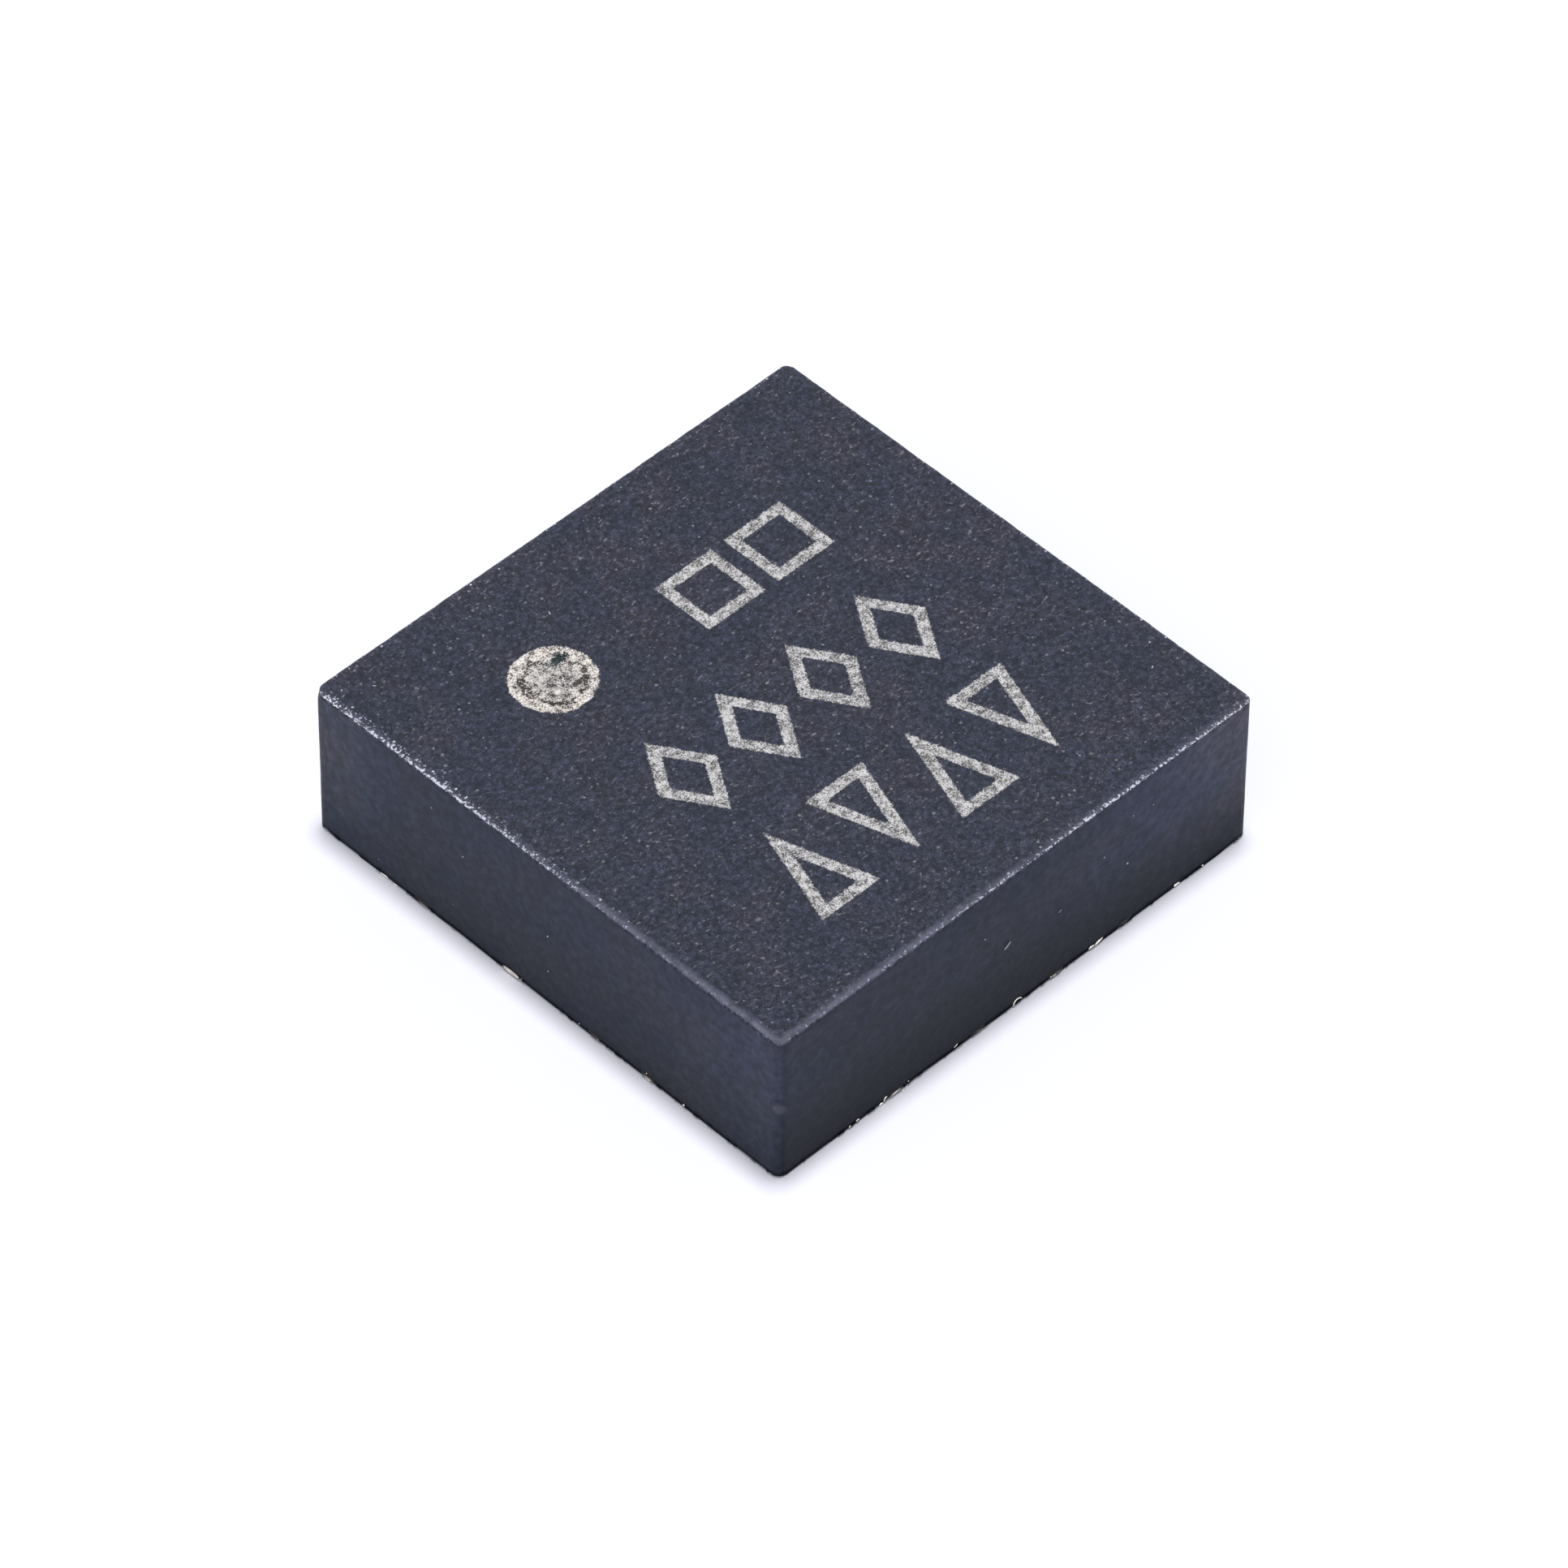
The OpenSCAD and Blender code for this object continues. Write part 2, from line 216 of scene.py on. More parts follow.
# Dim and a little blue on the object, white where it is looked at
def makeSky():
    world = bpy.data.worlds.new("sky")
    world.use_nodes = True
    tree = world.node_tree
    tree.nodes.clear()
    sky = lights["sky"]
    dim = addNode(tree, "ShaderNodeBackground", {"Color": (*sky["colour"], 1), "Strength": sky["share"]})
    white = addNode(tree, "ShaderNodeBackground", {"Color": (1, 1, 1, 1), "Strength": 1.0})
    inputs = {0: directShare(tree), 1: dim.outputs[0], 2: white.outputs[0]}
    mixed = addNode(tree, "ShaderNodeMixShader", inputs)
    addNode(tree, "ShaderNodeOutputWorld", {"Surface": mixed.outputs[0]})
    bpy.context.scene.world = world


# A pale matt square, with a faint glow where it is looked at
def makeFloor():
    facts = lights["floor"]
    reach = facts["reach"]
    mesh = bpy.data.meshes.new("floor")
    corners = [(-reach, -reach, 0), (reach, -reach, 0), (reach, reach, 0), (-reach, reach, 0)]
    mesh.from_pydata(corners, [], [(0, 1, 2, 3)])
    floor = bpy.data.objects.new("floor", mesh)
    bpy.context.scene.collection.objects.link(floor)
    material, tree = newMaterial("floor")
    matt = addNode(tree, "ShaderNodeBsdfDiffuse", {"Color": (*facts["colour"], 1)})
    strength = product(tree, directShare(tree), facts["glow"])
    glow = addNode(tree, "ShaderNodeEmission", {"Color": (1, 1, 1, 1), "Strength": strength})
    both = addNode(tree, "ShaderNodeAddShader", {0: matt.outputs[0], 1: glow.outputs[0]})
    addNode(tree, "ShaderNodeOutputMaterial", {"Surface": both.outputs[0]})
    mesh.materials.append(material)


makeLamp("overhead", lights["overhead"])
makeLamp("side", lights["side"])
makeSky()
makeFloor()
bpy.context.scene.view_settings.view_transform = "Standard"
print("camera, lights and floor made")


# Shader groups shared by the finishes

# A group with numbers as inputs: its tree, what it is given and what it puts out
def newGroup(name, inputs, outputs):
    tree = bpy.data.node_groups.new(name, "ShaderNodeTree")
    for label, value in inputs.items():
        socket = tree.interface.new_socket(label, in_out="INPUT", socket_type="NodeSocketFloat")
        socket.default_value = value
    for label, kind in outputs.items():
        tree.interface.new_socket(label, in_out="OUTPUT", socket_type=kind)
    return tree, tree.nodes.new("NodeGroupInput").outputs, tree.nodes.new("NodeGroupOutput").inputs


def useGroup(tree, group, inputs=None):
    return addNode(tree, "ShaderNodeGroup", inputs, node_tree=group).outputs


# Object coordinates in millimetres
def makePlaceGroup():
    tree, _, out = newGroup("place in mm", {}, {"Place": "NodeSocketVector"})
    own = addNode(tree, "ShaderNodeTexCoord").outputs["Object"]
    scaled = addNode(tree, "ShaderNodeVectorMath", {0: own, "Scale": 1 / mm}, operation="SCALE")
    tree.links.new(scaled.outputs[0], out["Place"])
    return tree


# A noise is its scale per mm, its detail and its roughness, or the last two where its size is an
# input. A span is a low and a high value, and then what they are carried to.
effects = {
    "grainNoise": (2.0, 0.65),
    "grainSwing": 6.0,
    "speckleNoise": (125.0, 2.0, 0.6),
    "speckleSpan": (0.36, 0.62),
    "driftNoise": (26.0, 1.0),
    "driftSwing": 0.5,
    "patchNoise": (3.0, 0.6),
    "patchSwing": 4.0,
    "hueNoise": (2.0, 0.5),
    "hueSpan": (0.35, 0.65),
    "hueAway": (7.3, 2.1, 4.7),  # mm between where the tone and the hue of a patch are read
    "fleckSpan": (0.6, 1.2, 1.0, 0.0),
}


# Cast grain: e to the power of a noise times the contrast, and the same noise as a height
def makeGrainGroup():
    tree, given, out = newGroup(
        "cast grain",
        {"Size": 0.01, "Contrast": 0.3},
        {"Tone": "NodeSocketFloat", "Height": "NodeSocketFloat"},
    )
    place = useGroup(tree, placeGroup)["Place"]
    scale = maths(tree, "DIVIDE", 1.0, given["Size"])
    field = noise(tree, place, scale, *effects["grainNoise"])
    tone = product(tree, swing(tree, field, effects["grainSwing"]), given["Contrast"])
    tone = maths(tree, "EXPONENT", tone)
    tree.links.new(tone, out["Tone"])
    tree.links.new(field, out["Height"])
    return tree


# Laser speckle: 0 in a pit and 1 on a pale grain; lift moves the balance between them
def makeSpeckleGroup():
    tree, given, out = newGroup(
        "laser speckle",
        {"Lift": 0.0},
        {"Value": "NodeSocketFloat", "Height": "NodeSocketFloat"},
    )
    place = useGroup(tree, placeGroup)["Place"]
    fine = noise(tree, place, *effects["speckleNoise"])
    drift = swing(tree, noise(tree, place, *effects["driftNoise"]), effects["driftSwing"])
    value = maths(tree, "ADD", maths(tree, "ADD", fine, drift), given["Lift"])
    tree.links.new(spread(tree, value, *effects["speckleSpan"]), out["Value"])
    tree.links.new(fine, out["Height"])
    return tree


# Soft patches: a slow noise, spread about 1 by the strength, and a second noise for a change of hue
def makePatchGroup():
    tree, given, out = newGroup(
        "soft patches",
        {"Size": 0.2, "Strength": 0.1},
        {"Tone": "NodeSocketFloat", "Hue": "NodeSocketFloat"},
    )
    place = useGroup(tree, placeGroup)["Place"]
    scale = maths(tree, "DIVIDE", 1.0, given["Size"])
    field = noise(tree, place, scale, *effects["patchNoise"])
    tone = product(tree, swing(tree, field, effects["patchSwing"]), given["Strength"])
    tone = maths(tree, "ADD", tone, 1.0)
    tree.links.new(tone, out["Tone"])
    away = {0: place, 1: effects["hueAway"]}
    moved = addNode(tree, "ShaderNodeVectorMath", away, operation="ADD").outputs[0]
    hue = spread(tree, noise(tree, moved, scale, *effects["hueNoise"]), *effects["hueSpan"], smooth=True)
    tree.links.new(hue, out["Hue"])
    return tree


# Bright flecks: round spots at the middle of scattered cells; share is the part of the cells that has one
def makeFleckGroup():
    tree, given, out = newGroup(
        "bright flecks",
        {"Spacing": 0.03, "Share": 0.1, "Radius": 0.005},
        {"Mask": "NodeSocketFloat"},
    )
    place = useGroup(tree, placeGroup)["Place"]
    scale = maths(tree, "DIVIDE", 1.0, given["Spacing"])
    cells = addNode(tree, "ShaderNodeTexVoronoi", {"Vector": place, "Scale": scale}).outputs
    split = addNode(tree, "ShaderNodeSeparateColor", {0: cells["Color"]}).outputs
    away = product(tree, cells["Distance"], given["Spacing"])
    radius = product(tree, given["Radius"], maths(tree, "ADD", split[1], 0.5))
    spot = spread(tree, maths(tree, "DIVIDE", away, radius), *effects["fleckSpan"], smooth=True)
    chosen = maths(tree, "LESS_THAN", split[0], given["Share"])
    tree.links.new(product(tree, spot, chosen, split[2]), out["Mask"])
    return tree


placeGroup = makePlaceGroup()
grainGroup = makeGrainGroup()
speckleGroup = makeSpeckleGroup()
patchGroup = makePatchGroup()
fleckGroup = makeFleckGroup()


# Principled shader with a bump from a height field; depth is the height of the field in mm
def finishMaterial(tree, colour, roughness, height, depth, metallic=0.0, specular=0.5, sheen=(1, 1, 1, 1)):
    bump = addNode(tree, "ShaderNodeBump", {"Height": height, "Distance": depth * mm, "Strength": 1.0})
    inputs = {
        "Base Color": colour,
        "Roughness": roughness,
        "Metallic": metallic,
        "Specular IOR Level": specular,
        "Specular Tint": sheen,
        "Normal": bump.outputs["Normal"],
    }
    shader = addNode(tree, "ShaderNodeBsdfPrincipled", inputs)
    addNode(tree, "ShaderNodeOutputMaterial", {"Surface": shader.outputs[0]})


# Finishes of the mould, with lengths in mm

wallFinish = {
    # The two tones are bluer than the top's: partly the sawn finish, partly a painted bluish reflection of
    # the floor's shade
    "blue": (0.0252, 0.0306, 0.0512, 1),
    "plum": (0.0314, 0.0327, 0.0508, 1),
    "fleck": (0.20, 0.21, 0.24, 1),
    "patches": {"Size": 0.34, "Strength": 0.12},
    "grain": {"Size": 0.042, "Contrast": 0.30},
    "flecks": {"Spacing": 0.06, "Share": 0.12, "Radius": 0.004},
    "fleckShare": 0.5,
    "depth": 0.002,
    "roughness": 0.6,
    "specular": 0.2,
    "footSpecular": 0.07,
    "sheen": (0.74, 0.84, 1.0, 1),
}

wallPaintedShading = {
    # painted shade: darker down every wall, and darkest at the very foot
    "rise": (0.03, 0.72, 0.55, 1.0),  # up every wall
    "foot": (0.006, 0.034, 0.5, 1.0),
    # painted light: lighter towards the upright corners
    "ends": (0.5, 1.5, 1.02, 1.45),  # from the middle of a wall to its ends
    # painted shade and light on the near wall: darker low down, lighter towards its right end
    "nearRise": (0.05, 0.55, 0.40, 0.86),  # up the near wall
    "nearRight": (-0.2, 1.5, 1.0, 2.1),  # and along it
    "nearEnd": (-1.499, -1.484),  # where the near wall's tone gives way to the others'
}


# Painted shade and light on the walls by place: darker towards the foot and on the near wall, where shade
# falls, and lighter towards the upright corners. The parts are multiplied, and the near wall has its own in
# place of the ends'.
def makeWallPaintedShadingGroup():
    tree, _, out = newGroup("wall painted shading", {}, {"Tone": "NodeSocketFloat"})
    place = useGroup(tree, placeGroup)["Place"]
    x, y, z = addNode(tree, "ShaderNodeSeparateXYZ", {0: place}).outputs
    along = maths(tree, "MINIMUM", maths(tree, "ABSOLUTE", x), maths(tree, "ABSOLUTE", y))
    ends = spread(tree, along, *wallPaintedShading["ends"], smooth=True)
    nearRise = spread(tree, z, *wallPaintedShading["nearRise"], smooth=True)
    near = product(tree, nearRise, spread(tree, x, *wallPaintedShading["nearRight"], smooth=True))
    across = mixValues(tree, spread(tree, y, *wallPaintedShading["nearEnd"], smooth=True), near, ends)
    rise = spread(tree, z, *wallPaintedShading["rise"], smooth=True)
    tone = product(tree, rise, spread(tree, z, *wallPaintedShading["foot"]), across)
    tree.links.new(tone, out["Tone"])
    return tree


wallPaintedShadingGroup = makeWallPaintedShadingGroup()


# Sawn wall: two near tones in soft patches, a fine faint grain, a few pale flecks, and the walls' painted
# shade and light
def makeWallGroup():
    outputs = {"Colour": "NodeSocketColor", "Height": "NodeSocketFloat"}
    tree, _, out = newGroup("sawn wall skin", {}, outputs)
    patches = useGroup(tree, patchGroup, wallFinish["patches"])
    grain = useGroup(tree, grainGroup, wallFinish["grain"])
    flecks = useGroup(tree, fleckGroup, wallFinish["flecks"])
    colour = mixColours(tree, patches["Hue"], wallFinish["blue"], wallFinish["plum"])
    # the random tones times the walls' painted shade and light by place
    tone = product(tree, patches["Tone"], grain["Tone"], useGroup(tree, wallPaintedShadingGroup)["Tone"])
    colour = toned(tree, colour, tone)
    flecked = product(tree, flecks["Mask"], wallFinish["fleckShare"])
    colour = mixColours(tree, flecked, colour, wallFinish["fleck"])
    tree.links.new(colour, out["Colour"])
    tree.links.new(grain["Height"], out["Height"])
    return tree


wallGroup = makeWallGroup()


# The sawn wall as a finish of its own; specular says how much light it throws back
def makeSawnWall(name, specular):
    material, tree = newMaterial(name)
    skin = useGroup(tree, wallGroup)
    rough, depth, sheen = wallFinish["roughness"], wallFinish["depth"], wallFinish["sheen"]
    finishMaterial(tree, skin["Colour"], rough, skin["Height"], depth, specular=specular, sheen=sheen)
    return material


topFinish = {
    "blue": (0.0256, 0.0286, 0.0450, 1),
    "plum": (0.0310, 0.0302, 0.0450, 1),
    "fleck": (0.60, 0.60, 0.64, 1),
    # painted highlight: the pale streaks stand in for lamp glints on the grain
    "glintStreak": (0.30, 0.30, 0.335, 1),
    "patches": {"Size": 0.25, "Strength": 0.08},
    "mottle": {"Size": 0.06, "Strength": 0.10},
    "grain": {"Size": 0.024, "Contrast": 0.60},
    "fineGrain": {"Size": 0.0115, "Contrast": 0.42},
    "flecks": {"Spacing": 0.034, "Share": 0.2, "Radius": 0.0056},
    "fleckShare": 0.7,
    "glintStreakNoise": (48.0, 3.0, 0.68),
    "glintStreakTurn": 45,  # degrees; along this way the painted highlight streaks are drawn out
    "glintStreakStretch": (0.6, 1, 1),
    "glintStreakCrowd": 0.04,  # how much more of them stand on one hue than on the other
    "glintStreakSpan": (0.60, 0.75),
    "glintStreakShare": 0.8,
    "depth": 0.006,
    "wallDepth": 0.3,  # of that, on the walls
    "roughness": 0.40,
    "markRoughness": 0.85,
}


# The top's plain skin: two near tones in soft patches, mottled and grained, with pale flecks and pale
# streaks of painted highlight
def topSkin(tree, place):
    facts = topFinish
    patches = useGroup(tree, patchGroup, facts["patches"])
    grain = useGroup(tree, grainGroup, facts["grain"])
    mottle = useGroup(tree, patchGroup, facts["mottle"])
    fineGrain = useGroup(tree, grainGroup, facts["fineGrain"])
    colour = mixColours(tree, patches["Hue"], facts["blue"], facts["plum"])
    tone = product(tree, patches["Tone"], mottle["Tone"], grain["Tone"], fineGrain["Tone"])
    colour = toned(tree, colour, tone)
    # pale streaks drawn out one way, a painted highlight of the grain's glints
    turn = (0, 0, math.radians(facts["glintStreakTurn"]))
    inputs = {"Vector": place, "Rotation": turn, "Scale": facts["glintStreakStretch"]}
    turned = addNode(tree, "ShaderNodeMapping", inputs).outputs[0]
    crowd = swing(tree, patches["Hue"], facts["glintStreakCrowd"])
    field = maths(tree, "ADD", noise(tree, turned, *facts["glintStreakNoise"]), crowd)
    glintStreaks = product(tree, spread(tree, field, *facts["glintStreakSpan"]), facts["glintStreakShare"])
    colour = mixColours(tree, glintStreaks, colour, facts["glintStreak"])
    flecks = useGroup(tree, fleckGroup, facts["flecks"])
    flecked = product(tree, flecks["Mask"], facts["fleckShare"])
    return mixColours(tree, flecked, colour, facts["fleck"]), grain["Height"]


# Distances are from the rim, below 0 on the top and above 0 down the wall. A pair of spans is a band,
# which comes in over the first and goes out over the second.
rimChipsAndLight = {
    # pale is painted light on the rounded rim; glint is painted highlight on the beads, which are partly
    # real chips; shade is painted shade in the pits under them
    "pale": (0.20, 0.20, 0.26, 1),
    "glint": (0.72, 0.73, 0.84, 1),
    "shade": (0.012, 0.013, 0.020, 1),
    "wanderNoise": (28.0,),
    "wander": 0.016,
    "crest": [(-0.022, -0.004), (0.003, 0.009)],  # where the beads crowd
    "crestByScatter": (0.15, 1.0, 0.80, 0.52),
    "strays": [(-0.060, -0.012), (-0.004, 0.004)],  # and where a few more lie
    "straysByFront": (0.0, 0.7, 0.45, 0.0),
    "crowdByFront": (0.0, 1.0, 1.0, 0.42),
    "beads": {"Spacing": 0.0135, "Radius": 0.0064},
    "beadGain": 1.3,
    "gritNoise": (70.0, 2.0, 0.6),
    "gritCrowd": 0.20,
    "gritSpan": (0.64, 0.74),
    "gritWhere": (0.02, 0.15),
    "glintByFront": (0.0, 1.0, 1.0, 0.40),
    "paintedLight": [(-0.05, -0.012), (0.008, 0.024)],
    "paintedLightByFront": (0.0, 1.0, 0.28, 0.62),
    "paintedLightNoise": (24.0, 3.0),
    "paintedLightSpan": (0.36, 0.60, 0.6, 1.15),
    # painted shade: dark specks in the pits under the beads
    "under": [(0.004, 0.009), (0.016, 0.034)],  # dark pits under the beads
    "underNoise": (40.0,),
    "underSpan": (0.46, 0.58, 0.0, 0.8),
}


# Rim: bright beads on the edge, thinning out over the top, partly chipped wear and partly painted highlight;
# a soft paler band of painted light near the front corner; painted shade in pits under the beads
def chipsAndLightOnRim(tree, place, colour):
    facts = rimChipsAndLight
    front, bySide, scatter = (attribute(tree, name) for name in ("frontShare", "nearSideShare", "scatter"))
    wander = swing(tree, noise(tree, place, *facts["wanderNoise"]), facts["wander"])
    bent = maths(tree, "ADD", attribute(tree, "rimDistance"), wander)
    crest = product(tree, band(tree, bent, *facts["crest"]), spread(tree, scatter, *facts["crestByScatter"]))
    strays = product(tree, scatter, spread(tree, front, *facts["straysByFront"]))
    strays = product(tree, band(tree, bent, *facts["strays"]), strays)
    crowd = product(tree, maths(tree, "ADD", crest, strays), bySide)
    crowd = product(tree, crowd, spread(tree, front, *facts["crowdByFront"]))
    crowded = product(tree, crowd, facts["gritCrowd"])
    grit = maths(tree, "ADD", noise(tree, place, *facts["gritNoise"]), crowded)
    grit = spread(tree, grit, *facts["gritSpan"], smooth=True)
    grit = product(tree, grit, spread(tree, crowd, *facts["gritWhere"]))
    beads = useGroup(tree, fleckGroup, {**facts["beads"], "Share": crowd})["Mask"]
    beads = maths(tree, "MULTIPLY", beads, facts["beadGain"], clamp=True)
    glint = product(tree, maths(tree, "MAXIMUM", beads, grit), spread(tree, front, *facts["glintByFront"]))
    paintedLight = product(tree, band(tree, bent, *facts["paintedLight"]), bySide, spread(tree, front, *facts["paintedLightByFront"]))
    paintedLight = product(tree, paintedLight, spread(tree, noise(tree, place, *facts["paintedLightNoise"]), *facts["paintedLightSpan"]))
    colour = mixColours(tree, paintedLight, colour, facts["pale"])
    colour = mixColours(tree, glint, colour, facts["glint"])
    pits = spread(tree, noise(tree, place, *facts["underNoise"]), *facts["underSpan"])
    return mixColours(tree, product(tree, band(tree, bent, *facts["under"]), pits), colour, facts["shade"])


cornerFinish = {
    "tan": (0.15, 0.12, 0.11, 1),
    "tanReach": (0.0, 0.07, 0.55, 0.0),
    "tanNoise": (30.0, 3.0),
    "tanSpan": (0.34, 0.70),
    # painted light with a warm tint on the wall beside the side corners
    "warmLight": (1.42, 1.32, 1.16, 1),
    "warmLightReach": (0.10, 0.55, 1.0, 0.0),
    "byFront": (0.0, 0.6, 1.0, 0.1),
    "byNearSide": (0.2, 0.6),
    "scuff": (0.17, 0.16, 0.19, 1),
    "scuffPlace": (-1.486, -1.486, 0.455),
    "scuffNoise": (40.0,),
    "scuffRagged": 0.03,
    "scuffReach": (0.016, 0.046, 0.36, 0.0),
}


# Upright corners: the two at the sides are rubbed to a faint tan, with painted light, warm and lighter, on
# the wall beside it, and the front one has a pale scuff half way down
def cornerWearAndLight(tree, place, colour, wallShare):
    facts = cornerFinish
    away = attribute(tree, "cornerDistance")
    front, bySide = attribute(tree, "frontShare"), attribute(tree, "nearSideShare")
    sides = product(tree, spread(tree, front, *facts["byFront"]), spread(tree, bySide, *facts["byNearSide"]))
    sides = product(tree, sides, wallShare)
    patchy = spread(tree, noise(tree, place, *facts["tanNoise"]), *facts["tanSpan"])
    rubbed = product(tree, spread(tree, away, *facts["tanReach"], smooth=True), patchy, sides)
    colour = mixColours(tree, rubbed, colour, facts["tan"])
    warmLit = product(tree, spread(tree, away, *facts["warmLightReach"], smooth=True), sides)
    colour = mixColours(tree, warmLit, colour, facts["warmLight"], "MULTIPLY")
    inputs = {0: place, 1: facts["scuffPlace"]}
    scuffAway = addNode(tree, "ShaderNodeVectorMath", inputs, operation="DISTANCE").outputs["Value"]
    ragged = swing(tree, noise(tree, place, *facts["scuffNoise"]), facts["scuffRagged"])
    scuff = spread(tree, maths(tree, "ADD", scuffAway, ragged), *facts["scuffReach"], smooth=True)
    return mixColours(tree, scuff, colour, facts["scuff"])


topMarks = {
    "spacing": 0.44,  # mm between marks in a row
    "rowSpacing": 0.76,
    "drop": 0.06,  # how far the block of marks lies below the middle
    "width": 0.36,
    "height": 0.56,
    "stroke": 0.06,
    "depth": 0.008,
    "rows": [(2, "square"), (0, "diamond"), (0, "triangle")],  # first column filled, and the outline
    "columns": 4,
    "dot": (-0.68, 0.79, 0.208),  # x, y and radius of the pin-one mark
}

strokeFinish = {
    "light": (0.76, 0.74, 0.725, 1),
    "pit": (0.11, 0.108, 0.105, 1),
    "speckle": {"Lift": -0.005},
    "edge": (-0.004, 0.002, 1.0, 0.0),
    "raggedNoise": (75.0,),  # the pin-one mark shares it
    "ragged": 0.024,
}


# Laser strokes: pale speckle with pits and a ragged edge
def addStrokes(tree, colour, ragged, speckle):
    away = maths(tree, "ADD", attribute(tree, "markDistance"), ragged)
    stroke = spread(tree, away, *strokeFinish["edge"])
    marked = mixColours(tree, speckle["Value"], strokeFinish["pit"], strokeFinish["light"])
    return mixColours(tree, stroke, colour, marked), stroke


dotFinish = {
    "light": (1.0, 0.93, 0.85, 1),
    "grey": (0.60, 0.60, 0.58, 1),
    "pit": (0.045, 0.041, 0.036, 1),
    "lobeNoise": (17.0, 3.0, 0.6),
    "lobes": 0.030,
    "edge": 0.003,
    "bendNoise": (11.0, 3.0, 0.6),
    "bend": 0.16,
    "ringRadius": 0.145,
    "ringNoise": (15.0, 1.0),
    "ringWidth": (0.38, 0.62, 0.010, 0.032),
    "ringFade": (0.1, 1.0, 1.0, 0.0),
    "middle": (0.10, 0.145, 1.0, 0.0),
    "greyShare": 0.6,
    "lift": 0.02,  # of the speckle on the outer band, and how much less it is on the ring and in the middle
    "ringDrop": 0.15,
    "middleDrop": 0.03,
    "spots": [  # place, half length and half width, angle, and colour
        ((-0.578, 0.865), (0.060, 0.030), 74, (0.012, 0.026, 0.030, 1)),
        ((-0.612, 0.700), (0.034, 0.020), 60, (0.045, 0.041, 0.036, 1)),
        ((-0.719, 0.719), (0.017, 0.013), 0, (0.90, 0.86, 0.80, 1)),
    ],
    "spotRagged": 2.2,
    "spotEdge": (0.65, 1.15, 0.93, 0.0),
}


# A spot as an ellipse with a ragged edge
def addSpot(tree, place, colour, speckle, centre, halves, angle, tint):
    moved = addNode(tree, "ShaderNodeMapping", {"Vector": place, "Location": (-centre[0], -centre[1], 0)})
    turn = (0, 0, math.radians(-angle))
    inputs = {"Vector": moved.outputs[0], "Rotation": turn, "Scale": (1 / halves[0], 1 / halves[1], 0)}
    turned = addNode(tree, "ShaderNodeMapping", inputs).outputs[0]
    away = addNode(tree, "ShaderNodeVectorMath", {0: turned}, operation="LENGTH").outputs["Value"]
    away = maths(tree, "ADD", away, swing(tree, speckle["Height"], dotFinish["spotRagged"]))
    return mixColours(tree, spread(tree, away, *dotFinish["spotEdge"], smooth=True), colour, tint)


# Pin-one mark: bright outer band, pitted ring, greyer middle, two dark spots and a bright one
def addDot(tree, place, colour, ragged, speckle):
    facts = dotFinish
    away = attribute(tree, "dotDistance")
    lobes = swing(tree, noise(tree, place, *facts["lobeNoise"]), facts["lobes"])
    outline = maths(tree, "ADD", away, maths(tree, "ADD", ragged, lobes))
    radius = topMarks["dot"][2]
    disc = spread(tree, outline, radius - facts["edge"], radius + facts["edge"], 1.0, 0.0)
    bend = swing(tree, noise(tree, place, *facts["bendNoise"]), facts["bend"])
    bent = maths(tree, "ADD", away, bend)
    ringAway = maths(tree, "ABSOLUTE", maths(tree, "SUBTRACT", bent, facts["ringRadius"]))
    ringWidth = spread(tree, noise(tree, place, *facts["ringNoise"]), *facts["ringWidth"])
    ring = spread(tree, maths(tree, "DIVIDE", ringAway, ringWidth), *facts["ringFade"])
    middle = spread(tree, bent, *facts["middle"], smooth=True)
    lift = maths(tree, "SUBTRACT", facts["lift"], product(tree, ring, facts["ringDrop"]))
    lift = maths(tree, "SUBTRACT", lift, product(tree, middle, facts["middleDrop"]))
    grains = useGroup(tree, speckleGroup, {"Lift": lift})["Value"]
    pale = mixColours(tree, product(tree, middle, facts["greyShare"]), facts["light"], facts["grey"])
    dot = mixColours(tree, grains, facts["pit"], pale)
    for spot in facts["spots"]:
        dot = addSpot(tree, place, dot, speckle, *spot)
    return mixColours(tree, disc, colour, dot), disc


# Top and wall mixed by their shares, then the rim's and corners' wear and painted light over them, and the
# laser's marks last
def makeMouldCompound():
    material, tree = newMaterial("mould compound")
    place = useGroup(tree, placeGroup)["Place"]
    wallShare = attribute(tree, "wallShare")
    wall = useGroup(tree, wallGroup)
    top, topHeight = topSkin(tree, place)
    colour = mixColours(tree, wallShare, top, wall["Colour"])
    colour = chipsAndLightOnRim(tree, place, colour)
    colour = cornerWearAndLight(tree, place, colour, wallShare)
    ragged = swing(tree, noise(tree, place, *strokeFinish["raggedNoise"]), strokeFinish["ragged"])
    speckle = useGroup(tree, speckleGroup, strokeFinish["speckle"])
    colour, stroke = addStrokes(tree, colour, ragged, speckle)
    colour, disc = addDot(tree, place, colour, ragged, speckle)
    marks = maths(tree, "MAXIMUM", stroke, disc)
    roughness = mixValues(tree, wallShare, topFinish["roughness"], wallFinish["roughness"])
    roughness = mixValues(tree, marks, roughness, topFinish["markRoughness"])
    wallHeight = product(tree, wall["Height"], topFinish["wallDepth"])
    height = mixValues(tree, marks, mixValues(tree, wallShare, topHeight, wallHeight), speckle["Height"])
    specular, sheen = wallFinish["specular"], wallFinish["sheen"]
    finishMaterial(tree, colour, roughness, height, topFinish["depth"], specular=specular, sheen=sheen)
    return material


sawnWall = makeSawnWall("sawn wall", wallFinish["specular"])
sawnFoot = makeSawnWall("sawn foot", wallFinish["footSpecular"])
mouldCompound = makeMouldCompound()
print("mould finishes made")


# Surfaces

